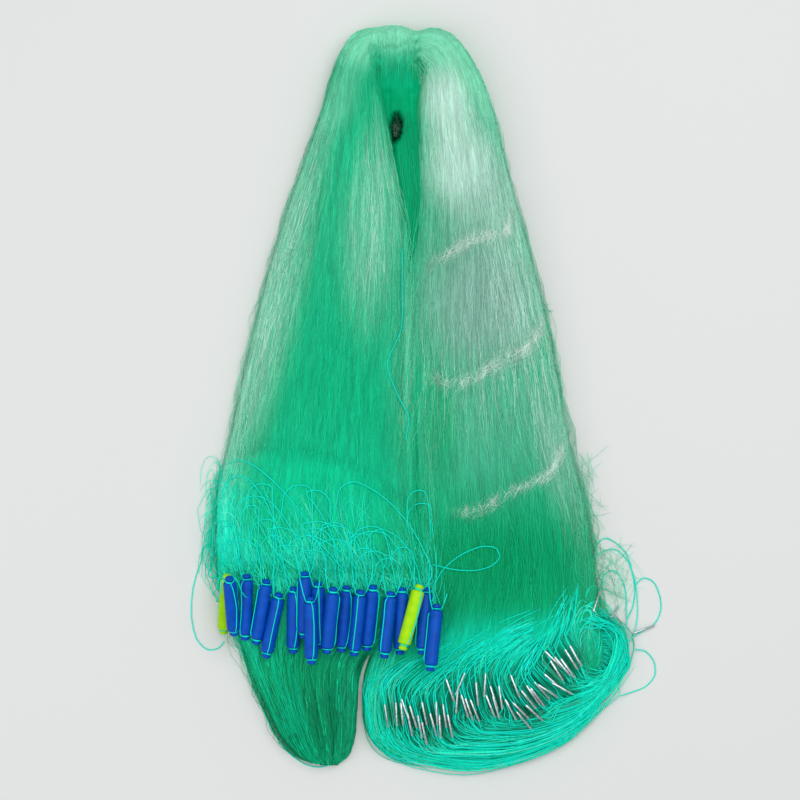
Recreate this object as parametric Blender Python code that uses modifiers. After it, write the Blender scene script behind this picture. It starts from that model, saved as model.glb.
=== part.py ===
"""A gathered gill net, folded over at its middle and laid on a flat surface.

Metres, +Z up, +Y towards the top fold. The net lies on the plane z = 0. Two legs run down from
the fold: the left one ends at the float line, the right one at the lead line.
"""

import math
from collections import namedtuple

import bmesh
import bpy
from mathutils import Euler, Matrix, Vector
from mathutils.bvhtree import BVHTree

MM = 0.001

# Driving sizes
CORD_DIAMETER = 1.2 * MM
FLOAT_LENGTH = 60 * MM
FLOAT_DIAMETER = 12 * MM
LEAD_LENGTH = 21 * MM
LEAD_DIAMETER = 2.4 * MM

# Netting
EDGE_HEIGHT = 9 * MM  # height at which a bundle is widest
BELOW_TABLE = 6 * MM  # how deep a bundle's round underside would go, before it is cut flat
STATION_STEP = 20 * MM
TOP_POINTS = 18
UNDER_POINTS = 6
CROWN_POWER = 2.3
RIDGE_HEIGHT = 2.2 * MM
HOLE_SIZE = (11 * MM, 28 * MM)
HOLE_CENTRE = (-27 * MM, 250 * MM)

# Clearances
TOUCH_GAP = 0.5 * MM
HANK_GAP = 1.2 * MM
HANK_REACH = 9 * MM
HANK_EDGE = 2.5 * MM
SEAT_START = 90 * MM
PROBE_STEP = 5 * MM

# Round pieces
FLOAT_SIDES = 8
LEAD_SIDES = 8

TUBE_STEP = 5 * CORD_DIAMETER

# Colour, roughness and metallic value of each material
Finish = namedtuple("Finish", "colour roughness metallic")

FINISHES = {
    "netting": Finish((0.02, 0.52, 0.27, 1), 0.45, 0.0),
    "cord": Finish((0.0, 0.72, 0.52, 1), 0.5, 0.0),
    "blue": Finish((0.004, 0.085, 0.50, 1), 0.35, 0.0),
    "yellow": Finish((0.42, 0.80, 0.01, 1), 0.35, 0.0),
    "lead": Finish((0.42, 0.45, 0.46, 1), 0.4, 0.9),
}

# A bundle's sections: place along it, its two edges across it, and its crown height
Section = namedtuple("Section", "along low high crown")

LEFT_LEG = [
    Section(338.0, -60, -46, 22),
    Section(334.0, -68, -38, 33),
    Section(322.0, -76, -34, 41),
    Section(300.0, -84, -42, 44),
    Section(268.0, -93, -36, 46),
    Section(230.0, -106, -30, 46),
    Section(170.0, -127, -20, 45),
    Section(97.0, -148, -15, 45),
    Section(19.0, -166, -14, 46),
    Section(-40.0, -179, -12, 44),
    Section(-80.0, -187, -8, 41),
    Section(-120.0, -189, 2, 37),
    Section(-160.0, -184, 8, 34),
    Section(-200.0, -171, -4, 32),
    Section(-225.0, -163, -58, 30),
    Section(-250.0, -155, -62, 28),
    Section(-279.0, -142, -63, 26),
    Section(-302.0, -130, -65, 23),
    Section(-318.0, -114, -70, 18),
    Section(-325.0, -101, -79, 13),
]

RIGHT_LEG = [
    Section(337.0, 0, 16, 22),
    Section(332.0, -6, 26, 34),
    Section(318.0, -7, 36, 43),
    Section(300.0, -4, 47, 46),
    Section(268.0, -9, 59, 48),
    Section(236.0, -8, 67, 48),
    Section(195.0, -4, 77, 47),
    Section(143.0, -8, 91, 47),
    Section(88.0, -14, 105, 47),
    Section(23.0, -17, 118, 47),
    Section(-27.0, -18, 127, 45),
    Section(-86.0, -18, 141, 42),
    Section(-120.0, -19, 148, 39),
    Section(-160.0, -22, 152, 35),
    Section(-200.0, -38, 158, 31),
    Section(-240.0, -55, 160, 26),
    Section(-270.0, -58, 148, 22),
    Section(-296.0, -54, 118, 19),
    Section(-312.0, -43, 84, 15),
    Section(-319.0, -24, 60, 12),
]

CENTRE_STRIP = [
    Section(310.0, -44, -6, 18),
    Section(250.0, -42, -2, 22),
    Section(190.0, -34, 4, 25),
    Section(100.0, -32, 0, 29),
    Section(0.0, -32, 0, 31),
    Section(-100.0, -32, 0, 29),
    Section(-190.0, -40, -8, 24),
    Section(-212.0, -46, -30, 16),
]

# The fold runs along X, so its edges are Y values
TOP_FOLD = [
    Section(-70.0, 305, 326, 26),
    Section(-62.0, 300, 334, 36),
    Section(-46.0, 299, 339, 42),
    Section(-24.0, 305, 341, 43),
    Section(-9.0, 308, 336, 37),
    Section(4.0, 305, 339, 42),
    Section(20.0, 298, 334, 41),
    Section(33.0, 300, 322, 30),
]

# Hanks lie on the netting: centre, half width and thickness at each station
Station = namedtuple("Station", "x y half thick")

FLOAT_LINE = [
    Station(-135, -44, 22, 1.0),
    Station(-124, -56, 56, 4.0),
    Station(-114, -80, 80, 7.0),
    Station(-103, -105, 96, 9.0),
    Station(-98, -128, 102, 8.0),
    Station(-98, -143, 99, 5.0),
]

LEAD_LINE = [
    Station(-22, -212, 18, 3.0),
    Station(-12, -240, 38, 6.0),
    Station(16, -272, 54, 8.0),
    Station(58, -284, 57, 10.0),
    Station(100, -271, 54, 11.0),
    Station(134, -246, 47, 11.0),
    Station(157, -221, 36, 9.0),
    Station(169, -202, 22, 6.0),
    Station(174, -192, 12, 3.0),
]

# Free cord: the points that each stretch passes through, in millimetres. A stretch starts and
# ends against the hank, float, netting or cord that it comes out of.
LOOPS = {
    "float_line_left": [
        (-201.2, -129, 1.0), (-204, -142, 1.0), (-210, -160, 1.0), (-213, -180, 1.0),
        (-212, -200, 1.0), (-207, -215, 1.0), (-197, -223, 1.0), (-188, -221, 1.5),
        (-183, -215, 5.0),
    ],
    "float_line_right": [
        (5.5, -144, 32.0), (25, -148, 37.8), (48, -148, 37.4), (60, -143, 39.8),
        (65, -136, 41.4), (62, -129, 41.6), (53, -127, 39.8), (38, -131, 40.2),
        (22, -141, 37.2), (12, -152, 33.0), (8, -160, 31.2),
    ],
    "float_line_middle": [
        (-22, 139, 29.3), (-22, 103, 31.2), (-23, 67, 31.4), (-35, 35, 40.8),
        (-26, 8, 34.4), (-16, -13, 34.4), (-19, -32, 33.8),
    ],
    "float_line_foot": [
        (-170, -212, 1.0), (-166, -228, 1.0), (-160, -248, 1.0), (-153, -266, 1.0),
        (-147, -280, 1.0), (-136, -302, 1.0), (-121, -319.5, 1.0), (-104, -328.5, 1.0),
        (-94, -329, 1.0), (-86, -326.4, 1.0),
    ],
    "lead_line_top": [
        (152, -134, 1.0), (155, -127, 1.0), (161, -122, 1.0), (172, -126, 1.0),
        (180, -134, 1.0), (187, -154, 1.0), (189, -172, 1.0), (187, -184, 2.4),
        (182, -194, 6.2),
    ],
    "lead_line_side": [
        (190.2, -163.5, 1.0), (196, -158, 1.0), (204, -160, 1.0), (211, -172, 1.0),
        (212.4, -187, 1.0), (207, -199, 1.0), (198, -205, 1.6), (192, -208, 4.0),
        (187, -210, 6.3),
    ],
    "lead_line_low": [
        (188.5, -222, 5.2), (198, -224, 1.5), (206, -233, 1.0), (207, -246, 1.0),
        (199, -256, 1.0), (187, -261, 1.6), (180, -263, 4.6), (175, -264, 7.6),
    ],
}

# Floats: middle of each, its lean (top towards +X) and its colour, lowest first
Float = namedtuple("Float", "x y lean colour")

FLOATS = [
    Float(-181, -180, 5, "yellow"),
    Float(-162, -182, 2, "blue"),
    Float(-148, -186, 10, "blue"),
    Float(-119, -193, 1, "blue"),
    Float(-109, -179, 1, "blue"),
    Float(-96, -188, -2, "blue"),
    Float(-74, -192, 5, "blue"),
    Float(-51, -191, 6, "blue"),
    Float(-23, -194, 2, "blue"),
    Float(-2, -194, 4, "blue"),
    Float(-174, -180, -3, "blue"),
    Float(-138, -198, 12, "blue"),
    Float(-103, -201, -1, "blue"),
    Float(-86, -192, 6, "blue"),
    Float(-62, -195, 6, "blue"),
    Float(-35, -197, 6, "blue"),
    Float(-14, -190, 15, "yellow"),
    Float(6, -208, 6, "blue"),
]

# Leads: middle of each and its lean (upper end towards +X)
Lead = namedtuple("Lead", "x y lean")

LEADS = [
    Lead(-36, -280, -9),
    Lead(-27, -278, -3),
    Lead(-22, -278, -6),
    Lead(-12, -280, -17),
    Lead(-6, -289, -10),
    Lead(-2, -277, -12),
    Lead(-2, -295, -12),
    Lead(6, -287, -16),
    Lead(12, -289, -4),
    Lead(21, -288, -12),
    Lead(21, -256, -20),
    Lead(30, -250, 22),
    Lead(34, -270, -17),
    Lead(43, -274, -22),
    Lead(45, -259, -6),
    Lead(52, -251, 3),
    Lead(60, -262, -18),
    Lead(66, -262, -9),
    Lead(75, -273, -28),
    Lead(84, -274, -45),
    Lead(79, -252, -22),
    Lead(91, -264, -39),
    Lead(95, -260, -34),
    Lead(103, -256, -41),
    Lead(108, -256, -57),
    Lead(96, -276, -47),
    Lead(121, -254, -61),
    Lead(116, -238, -32),
    Lead(133, -225, -29),
    Lead(153, -178, 19),
    Lead(170, -188, 45),
    Lead(197, -204, 72),
]


# ---------------------------------------------------------------- helpers
def clear_scene():
    for thing in list(bpy.data.objects):
        bpy.data.objects.remove(thing, do_unlink=True)


def collection(name):
    found = bpy.data.collections.new(name)
    bpy.context.scene.collection.children.link(found)
    return found


def material(name, finish):
    mat = bpy.data.materials.new(name)
    mat.use_nodes = True
    shader = mat.node_tree.nodes["Principled BSDF"]
    shader.inputs["Base Color"].default_value = finish.colour
    shader.inputs["Roughness"].default_value = finish.roughness
    shader.inputs["Metallic"].default_value = finish.metallic
    return mat


def add_object(name, data, where, mat=None):
    made = bpy.data.objects.new(name, data)
    where.objects.link(made)
    if mat:
        data.materials.append(mat)
    return made


def smooth(knots, values, at):
    """The value at one place on a smooth curve through the values, with uneven knots."""
    last = len(knots) - 1
    i = max(k for k in range(last) if at >= knots[k]) if at > knots[0] else 0
    slopes = []
    for k in (i, i + 1):
        before, after = max(k - 1, 0), min(k + 1, last)
        slopes.append((values[after] - values[before]) / (knots[after] - knots[before]))
    span = knots[i + 1] - knots[i]
    t = min(max((at - knots[i]) / span, 0), 1)
    return (
        (2 * t**3 - 3 * t**2 + 1) * values[i]
        + (t**3 - 2 * t**2 + t) * span * slopes[0]
        + (3 * t**2 - 2 * t**3) * values[i + 1]
        + (t**3 - t**2) * span * slopes[1]
    )


def loft(name, rings):
    """A closed mesh through rings that have the same number of points, with flat ends."""
    bm = bmesh.new()
    rows = [[bm.verts.new(point) for point in ring] for ring in rings]
    count = len(rows[0])
    for one, two in zip(rows, rows[1:]):
        for i in range(count):
            j = (i + 1) % count
            bm.faces.new((one[i], one[j], two[j], two[i]))
    bm.faces.new(rows[0])
    bm.faces.new(rows[-1])
    bmesh.ops.recalc_face_normals(bm, faces=bm.faces)
    mesh = bpy.data.meshes.new(name)
    bm.to_mesh(mesh)
    bm.free()
    return mesh


def as_cutter(thing):
    thing.hide_render = True
    thing.display_type = "WIRE"


def boolean(thing, cutter, operation):
    as_cutter(cutter)
    step = thing.modifiers.new(operation.title(), "BOOLEAN")
    step.operation = operation
    step.solver = "EXACT"
    step.object = cutter


# ---------------------------------------------------------------- netting
def section_ring(section, ridges, phase, along_x):
    """One closed ring across a bundle: a ridged crown over a round underside."""
    middle = (section.low + section.high) / 2
    half = (section.high - section.low) / 2
    rise = section.crown - EDGE_HEIGHT
    sink = EDGE_HEIGHT + BELOW_TABLE
    ring = []
    for i in range(TOP_POINTS + UNDER_POINTS):
        if i < TOP_POINTS:
            turn = math.pi * i / TOP_POINTS
        else:
            turn = math.pi * (1 + (i - TOP_POINTS) / UNDER_POINTS)
        power = 2 / CROWN_POWER
        across = math.copysign(abs(math.cos(turn)) ** power, math.cos(turn))
        height = abs(math.sin(turn)) ** power
        if i < TOP_POINTS:
            fold = math.cos(ridges * math.pi * across + phase)
            z = EDGE_HEIGHT + rise * height + RIDGE_HEIGHT * fold * height
        else:
            z = EDGE_HEIGHT - sink * height
        place = middle + half * across
        if along_x:
            ring.append(Vector((section.along, place, z)))
        else:
            ring.append(Vector((place, section.along, z)))
    return ring


def between(rows):
    """The table's sections, and enough between them that none is a step further apart."""
    rows = sorted(Section(*(value * MM for value in row)) for row in rows)
    knots = [row.along for row in rows]
    places = [knots[0]]
    for low, high in zip(knots, knots[1:]):
        count = math.ceil((high - low) / STATION_STEP)
        places += [low + (high - low) * (k + 1) / count for k in range(count)]
    columns = [[row[k] for row in rows] for k in range(1, 4)]
    return [Section(at, *(smooth(knots, column, at) for column in columns)) for at in places]


def bundle(name, rows, ridges, drift, where, along_x=False):
    """Gathered netting as one lofted form. The ridges wander sideways with the drift."""
    rings = []
    for section in between(rows):
        phase = drift * math.sin(section.along / (70 * MM)) + drift
        rings.append(section_ring(section, ridges, phase, along_x))
    return add_object(name, loft(name, rings), where)


def hole_cutter(where):
    bm = bmesh.new()
    bmesh.ops.create_cone(
        bm, cap_ends=True, segments=14, radius1=0.5, radius2=0.5, depth=0.3
    )
    width, length = HOLE_SIZE
    bmesh.ops.scale(bm, verts=bm.verts, vec=(width, length, 1))
    mesh = bpy.data.meshes.new("fold_hole")
    bm.to_mesh(mesh)
    bm.free()
    cutter = add_object("fold_hole", mesh, where)
    cutter.location = (*HOLE_CENTRE, 0)
    return cutter


def table_cutter(where):
    """All that would lie under the surface that the net rests on."""
    bm = bmesh.new()
    bmesh.ops.create_cube(bm, size=1.0)
    mesh = bpy.data.meshes.new("under_table")
    bm.to_mesh(mesh)
    bm.free()
    cutter = add_object("under_table", mesh, where)
    cutter.location = (0, 0, -0.5)
    return cutter


def netting(parts, cutters, mat):
    body = bundle("netting", LEFT_LEG, 5, 1.3, parts)
    body.data.materials.append(mat)
    boolean(body, bundle("right_leg", RIGHT_LEG, 5, 1.1, cutters), "UNION")
    boolean(body, bundle("centre_strip", CENTRE_STRIP, 2, 0.4, cutters), "UNION")
    boolean(body, bundle("top_fold", TOP_FOLD, 3, 0.6, cutters, along_x=True), "UNION")
    boolean(body, table_cutter(cutters), "DIFFERENCE")
    boolean(body, hole_cutter(cutters), "DIFFERENCE")
    return body


# ---------------------------------------------------------------- lying on what is below
def tree_of(thing):
    """A search tree of a finished piece in world space."""
    graph = bpy.context.evaluated_depsgraph_get()
    seen = thing.evaluated_get(graph)
    mesh = seen.to_mesh()
    points = [thing.matrix_world @ vertex.co for vertex in mesh.vertices]
    faces = [tuple(face.vertices) for face in mesh.polygons]
    tree = BVHTree.FromPolygons(points, faces)
    seen.to_mesh_clear()
    return tree


def height_at(trees, x, y):
    found = 0.0
    for tree in trees:
        hit = tree.ray_cast(Vector((x, y, 1.0)), Vector((0, 0, -1)))[0]
        if hit:
            found = max(found, hit.z)
    return found


def cover_height(trees, x, y, reach):
    """The highest surface within reach of a place, so that what lies there clears its edges."""
    tops = [height_at(trees, x, y)]
    for ring in (0.5, 1.0):
        for k in range(8):
            turn = math.tau * k / 8
            across, along = math.cos(turn), math.sin(turn)
            tops.append(height_at(trees, x + ring * reach * across, y + ring * reach * along))
    return max(tops)


def finer(stations):
    """The table's stations with others between them, no further apart than the reach."""
    rows = [Station(*(value * MM for value in row)) for row in stations]
    knots = [0.0]
    for one, two in zip(rows, rows[1:]):
        knots.append(knots[-1] + math.hypot(two.x - one.x, two.y - one.y))
    columns = list(zip(*rows))
    count = math.ceil(knots[-1] / HANK_REACH)
    places = [knots[-1] * k / count for k in range(count + 1)]
    return [Station(*(smooth(knots, column, at) for column in columns)) for at in places]


def hank(name, table, across_points, turning, below, where, mat):
    """Stacked cord as one closed form that lies on the netting, its underside following it.

    Its sections turn with its centre line, or all lie along X."""
    stations = finer(table)
    rings = []
    for k, station in enumerate(stations):
        before, after = stations[max(k - 1, 0)], stations[min(k + 1, len(stations) - 1)]
        way = Vector((after.x - before.x, after.y - before.y)).normalized()
        side = Vector((-way.y, way.x)) if turning else Vector((1, 0))
        upper, lower = [], []
        for i in range(across_points + 1):
            share = 1 - 2 * i / across_points
            x = station.x + side.x * station.half * share
            y = station.y + side.y * station.half * share
            base = cover_height(below, x, y, HANK_REACH) + HANK_GAP
            thick = HANK_EDGE + station.thick * math.sqrt(1 - share**2)
            upper.append(Vector((x, y, base + thick)))
            lower.append(Vector((x, y, base)))
        rings.append(upper + lower[::-1])
    return add_object(name, loft(name, rings), where, mat)


def seat_height(probes, trees):
    """How far above z = 0 the probes' origin lies when the piece just clears all below it."""
    lift = SEAT_START
    for _ in range(60):
        moved = [probe + Vector((0, 0, lift)) for probe in probes]
        clear = min(point.z for point in moved)
        for tree in trees:
            clear = min(clear, min(tree.find_nearest(point)[3] for point in moved))
        lift -= clear - TOUCH_GAP
        if clear - TOUCH_GAP < 0.01 * MM:
            break
    return lift


def round_probes(profile, sides):
    """Points over the surface of a piece that is turned about its own Y axis."""
    rings = []
    for (radius, along), (next_radius, next_along) in zip(profile, profile[1:]):
        count = math.ceil(abs(next_along - along) / PROBE_STEP)
        for share in (k / count for k in range(count)):
            rings.append(
                (radius + (next_radius - radius) * share, along + (next_along - along) * share)
            )
    rings.append(profile[-1])
    turns = [math.tau * i / sides for i in range(sides)]
    return [
        Vector((radius * math.cos(turn), along, radius * math.sin(turn)))
        for radius, along in rings
        for turn in turns
    ]


# ---------------------------------------------------------------- floats and leads
def float_profile():
    """Radius and place along the float, from its upper end down to its foot."""
    half, body = FLOAT_LENGTH / 2, FLOAT_DIAMETER / 2
    knob, neck = 0.68 * body, 0.52 * body
    upper = [
        (0.0, half),
        (0.8 * knob, half - 0.4 * MM),
        (knob, half - 1.8 * MM),
        (neck, half - 4.2 * MM),
        (0.9 * body, half - 7.5 * MM),
        (body, half - 12 * MM),
    ]
    lower = [(radius, -along) for radius, along in reversed(upper)]
    return upper + lower


def float_mesh(name, mat):
    """The profile turned about the float's own Y axis."""
    profile = float_profile()
    bm = bmesh.new()
    points = [bm.verts.new((radius, along, 0)) for radius, along in profile]
    for one, two in zip(points, points[1:]):
        bm.edges.new((one, two))
    mesh = bpy.data.meshes.new(name)
    bm.to_mesh(mesh)
    bm.free()
    mesh.materials.append(mat)
    return mesh


def turned(thing):
    step = thing.modifiers.new("Turned", "SCREW")
    step.axis = "Y"
    step.angle = math.tau
    step.steps = step.render_steps = FLOAT_SIDES
    step.use_merge_vertices = True
    step.merge_threshold = 0.0001
    step.use_normal_calculate = True


def lay(piece, row, length, probes, ground, below):
    """Turn a round piece to its lean and to the ground's slope, then lower it to what it meets."""
    lean = math.radians(row.lean)
    there = Vector((row.x * MM, row.y * MM, 0))
    reach = 0.4 * length
    ends = [there + sign * reach * Vector((math.sin(lean), math.cos(lean), 0)) for sign in (1, -1)]
    upper, foot = (cover_height(ground, end.x, end.y, 3 * MM) for end in ends)
    piece.rotation_euler = Euler((math.atan2(upper - foot, 2 * reach), 0, -lean), "XYZ")
    spin = piece.rotation_euler.to_matrix()
    lift = seat_height([spin @ probe + there for probe in probes], below)
    piece.location = there + Vector((0, 0, lift))
    bpy.context.view_layer.update()


def floats(parts, looks, ground, below):
    """The floats, each lowered onto the netting and onto those already there."""
    probes = round_probes(float_profile(), 16)
    trees = []
    for number, row in enumerate(FLOATS, start=1):
        name = f"float_{number:02d}_{row.colour}"
        piece = add_object(name, float_mesh(name, looks[row.colour]), parts)
        turned(piece)
        lay(piece, row, FLOAT_LENGTH, probes, ground, below + trees)
        trees.append(tree_of(piece))
    return trees


def leads(parts, mat, ground, below):
    """The leads, small tubes pinched on the lead line, lowered as the floats are."""
    radius = LEAD_DIAMETER / 2
    half = LEAD_LENGTH / 2
    probes = round_probes([(radius, half), (radius, -half)], 8)
    trees = []
    for number, row in enumerate(LEADS, start=1):
        bm = bmesh.new()
        bmesh.ops.create_cone(
            bm,
            cap_ends=True,
            segments=LEAD_SIDES,
            radius1=radius,
            radius2=radius,
            depth=LEAD_LENGTH,
            matrix=Matrix.Rotation(math.pi / 2, 4, "X"),
        )
        name = f"lead_{number:02d}"
        mesh = bpy.data.meshes.new(name)
        bm.to_mesh(mesh)
        bm.free()
        piece = add_object(name, mesh, parts, mat)
        lay(piece, row, LEAD_LENGTH, probes, ground, below + trees)
        trees.append(tree_of(piece))


# ---------------------------------------------------------------- cord
def cord_tube(name, route, where, mat):
    """A stretch of cord as a tube along a smooth curve through its route."""
    points = [Vector(point) * MM for point in route]
    knots = [0.0]
    for one, two in zip(points, points[1:]):
        knots.append(knots[-1] + (two - one).length)
    count = math.ceil(knots[-1] / TUBE_STEP)
    curve = bpy.data.curves.new(name, "CURVE")
    curve.dimensions = "3D"
    curve.bevel_depth = CORD_DIAMETER / 2
    curve.bevel_resolution = 2
    curve.use_fill_caps = True
    line = curve.splines.new("POLY")
    line.points.add(count)
    for k, point in enumerate(line.points):
        at = knots[-1] * k / count
        point.co = (*(smooth(knots, [p[axis] for p in points], at) for axis in range(3)), 1)
    return add_object(name, curve, where, mat)


def build():
    clear_scene()
    parts = collection("fishing_net")
    cutters = collection("cutters")
    looks = {name: material(name, finish) for name, finish in FINISHES.items()}
    body = netting(parts, cutters, looks["netting"])
    bpy.context.view_layer.update()
    ground = [tree_of(body)]
    lines = [
        hank("float_line", FLOAT_LINE, 20, False, ground, parts, looks["cord"]),
        hank("lead_line", LEAD_LINE, 12, True, ground, parts, looks["cord"]),
    ]
    loops = [cord_tube(name, route, parts, looks["cord"]) for name, route in LOOPS.items()]
    bpy.context.view_layer.update()
    ground += [tree_of(line) for line in lines]
    below = ground + [tree_of(loop) for loop in loops]
    floats(parts, looks, ground, below)
    leads(parts, looks["lead"], ground, below)


build()
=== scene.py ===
import math

import bpy
import numpy as np
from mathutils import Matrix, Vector
from mathutils.bvhtree import BVHTree


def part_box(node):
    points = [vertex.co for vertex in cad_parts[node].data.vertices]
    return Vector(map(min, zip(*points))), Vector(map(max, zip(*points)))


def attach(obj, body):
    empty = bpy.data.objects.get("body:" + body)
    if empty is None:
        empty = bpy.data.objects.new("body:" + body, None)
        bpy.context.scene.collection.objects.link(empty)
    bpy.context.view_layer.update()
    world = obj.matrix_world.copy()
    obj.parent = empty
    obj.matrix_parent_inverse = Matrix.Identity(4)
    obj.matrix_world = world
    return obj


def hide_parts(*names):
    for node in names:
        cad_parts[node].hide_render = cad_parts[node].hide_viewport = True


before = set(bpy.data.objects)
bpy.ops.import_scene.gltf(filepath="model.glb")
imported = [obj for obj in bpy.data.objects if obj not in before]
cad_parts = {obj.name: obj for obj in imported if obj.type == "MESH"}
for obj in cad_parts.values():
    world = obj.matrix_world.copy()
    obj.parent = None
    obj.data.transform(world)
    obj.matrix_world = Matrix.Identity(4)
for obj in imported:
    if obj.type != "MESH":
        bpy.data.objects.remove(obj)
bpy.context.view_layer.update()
bpy.ops.object.select_all(action="DESELECT")
scene = bpy.context.scene
mm = 0.001
dice = np.random.default_rng(40)


def linked(name, data):
    # a new object with this data, in the scene
    made = bpy.data.objects.new(name, data)
    scene.collection.objects.link(made)
    return made


# ---- camera, floor and light

view = {"centre": (-0.0239, 0.0036), "width": 0.72, "height": 2.6, "level": 0.02}

cameraData = bpy.data.cameras.new("camera")
camera = linked("camera", cameraData)
camera.location = (*view["centre"], view["level"] + view["height"])
cameraData.lens = cameraData.sensor_width * view["height"] / view["width"]
cameraData.clip_end = 20
scene.camera = camera
scene.view_settings.view_transform = "Standard"

studio = {
    "floorColour": (0.80, 0.80, 0.79, 1),
    "worldColour": (0.95, 0.98, 1.0, 1),
    "worldStrength": 0.42,
    # each light's place, size and power
    "key": ((0.7, 0.8, 2.2), 1.5, 19),
    "fill": ((-1.2, -0.6, 1.8), 1.6, 10),
    "top": ((0.0, 0.1, 2.9), 1.8, 17),
}


def addFloor():
    bpy.ops.mesh.primitive_plane_add(size=9, location=(0, 0, 0))
    floor = bpy.context.object
    floor.name = "floor"
    paint = bpy.data.materials.new("paleFloor")
    paint.use_nodes = True
    shader = paint.node_tree.nodes["Principled BSDF"]
    shader.inputs["Base Color"].default_value = studio["floorColour"]
    shader.inputs["Roughness"].default_value = 0.85
    floor.data.materials.append(paint)
    floor.select_set(False)


def addLight(name):
    place, size, power = studio[name]
    data = bpy.data.lights.new(name + "Light", "AREA")
    data.size, data.energy = size, power
    lamp = linked(name + "Light", data)
    lamp.location = place
    lamp.rotation_euler = (-Vector(place)).to_track_quat("-Z", "Y").to_euler()


addFloor()
for lamp in ("key", "fill", "top"):
    addLight(lamp)
world = bpy.data.worlds.new("softRoom")
world.use_nodes = True
background = world.node_tree.nodes["Background"]
background.inputs["Color"].default_value = studio["worldColour"]
background.inputs["Strength"].default_value = studio["worldStrength"]
scene.world = world
print("camera, floor and light are set")

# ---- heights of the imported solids, as grids that the soft pieces lie on


def treeOf(node):
    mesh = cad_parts[node].data
    points = [v.co for v in mesh.vertices]
    return BVHTree.FromPolygons(points, [tuple(p.vertices) for p in mesh.polygons])


def survey(node, upward=False, step=1.5 * mm):
    tree = treeOf(node)
    low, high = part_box(node)
    xs = np.arange(low.x - 3 * step, high.x + 4 * step, step)
    ys = np.arange(low.y - 3 * step, high.y + 4 * step, step)
    start, way = (-1.0, Vector((0, 0, 1))) if upward else (1.0, Vector((0, 0, -1)))
    heights = np.full((len(xs), len(ys)), np.nan)
    for i, x in enumerate(xs):
        for j, y in enumerate(ys):
            hit = tree.ray_cast(Vector((x, y, start)), way)[0]
            if hit:
                heights[i, j] = hit.z
    return {
        "x0": xs[0], "y0": ys[0], "step": step, "open": heights, "filled": np.nan_to_num(heights)
    }


def heightAt(field, x, y, kind="filled"):
    # filled is 0 where there is no solid, open is not a number there
    grid = field[kind]
    u = np.clip((np.asarray(x) - field["x0"]) / field["step"], 0, grid.shape[0] - 1.001)
    v = np.clip((np.asarray(y) - field["y0"]) / field["step"], 0, grid.shape[1] - 1.001)
    i, j = u.astype(int), v.astype(int)
    a, b = u - i, v - j
    near = grid[i, j] * (1 - b) + grid[i, j + 1] * b
    far = grid[i + 1, j] * (1 - b) + grid[i + 1, j + 1] * b
    return near * (1 - a) + far * a


def evenedGrid(grid, passes):
    for _ in range(passes):
        sides = np.roll(grid, 1, 0) + np.roll(grid, -1, 0) + np.roll(grid, 1, 1) + np.roll(grid, -1, 1)
        grid = (4 * grid + sides) / 8
    return grid


netTop = survey("netting")
floatTop = survey("float_line", step=3 * mm)
leadTop = survey("lead_line", step=3 * mm)
gridX, gridY = np.meshgrid(
    *(floatTop[k] + 3 * mm * np.arange(n) for k, n in zip(("x0", "y0"), floatTop["filled"].shape)),
    indexing="ij",
)
heapRise = dict(floatTop)  # how far the heap stands above the netting, with its edges eased
heapRise["filled"] = evenedGrid(
    np.maximum(floatTop["filled"] - heightAt(netTop, gridX, gridY), 0), 14
)
leadUnder = survey("lead_line", upward=True, step=3 * mm)
print("heights are surveyed")


def smoothAlong(knots, values, at):
    knots, values, at = (np.asarray(a, float) for a in (knots, values, at))
    slopes = np.gradient(values, knots, axis=0)
    i = np.clip(np.searchsorted(knots, at, side="right") - 1, 0, len(knots) - 2)
    span = knots[i + 1] - knots[i]
    t = np.clip((at - knots[i]) / span, 0, 1)
    if values.ndim > 1:
        span, t = span[..., None], t[..., None]
    return (
        (2 * t**3 - 3 * t**2 + 1) * values[i]
        + (t**3 - 2 * t**2 + t) * span * slopes[i]
        + (3 * t**2 - 2 * t**3) * values[i + 1]
        + (t**3 - t**2) * span * slopes[i + 1]
    )


# ---- how the net lies: ribs across the bundle, from the float end over the fold to the lead end
# each is the bundle's outer edge and its inner edge, in millimetres

ribs = [
    (-101, -326, -80, -326),
    (-116, -319, -71, -319),
    (-131, -302, -65, -302),
    (-143, -279, -63, -279),
    (-155, -250, -61, -250),
    (-163, -225, -54, -228),
    (-171, -200, -30, -205),
    (-184, -160, -14, -160),
    (-189, -120, -10, -120),
    (-187, -80, -12, -80),
    (-179, -40, -14, -40),
    (-166, 19, -15, 19),
    (-148, 97, -16, 97),
    (-127, 170, -21, 170),
    (-106, 230, -31, 230),
    (-93, 268, -37, 262),
    (-84, 300, -41, 286),
    (-76, 318, -40, 296),
    (-63, 334, -36, 302),
    (-45, 339, -31, 305),
    (-24, 341, -26, 306),
    (-9, 336, -21, 306),
    (6, 339, -15, 304),
    (22, 333, -10, 300),
    (36, 318, -7, 293),
    (47, 300, -6, 284),
    (59, 268, -8, 262),
    (67, 236, -7, 236),
    (77, 195, -5, 195),
    (91, 143, -8, 143),
    (105, 88, -13, 88),
    (118, 23, -16, 23),
    (127, -27, -18, -27),
    (141, -86, -18, -86),
    (148, -120, -19, -120),
    (152, -160, -22, -160),
    (158, -200, -38, -200),
    (160, -240, -55, -240),
    (148, -270, -58, -270),
    (118, -296, -54, -296),
    (84, -312, -43, -312),
    (60, -319, -24, -319),
]
ribTable = np.array(ribs, float) * mm
ribSteps = np.linalg.norm(np.diff(ribTable, axis=0).reshape(-1, 2, 2), axis=2).mean(axis=1)
ribKnots = np.concatenate([[0], np.cumsum(ribSteps)])
netDepth = float(ribKnots[-1])
topRib = 20  # the rib in the middle of the top fold


def netPlace(s, v):
    ends = smoothAlong(ribKnots, ribTable, s)
    v = np.asarray(v)[..., None]
    return ends[..., :2] * (1 - v) + ends[..., 2:] * v


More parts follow.
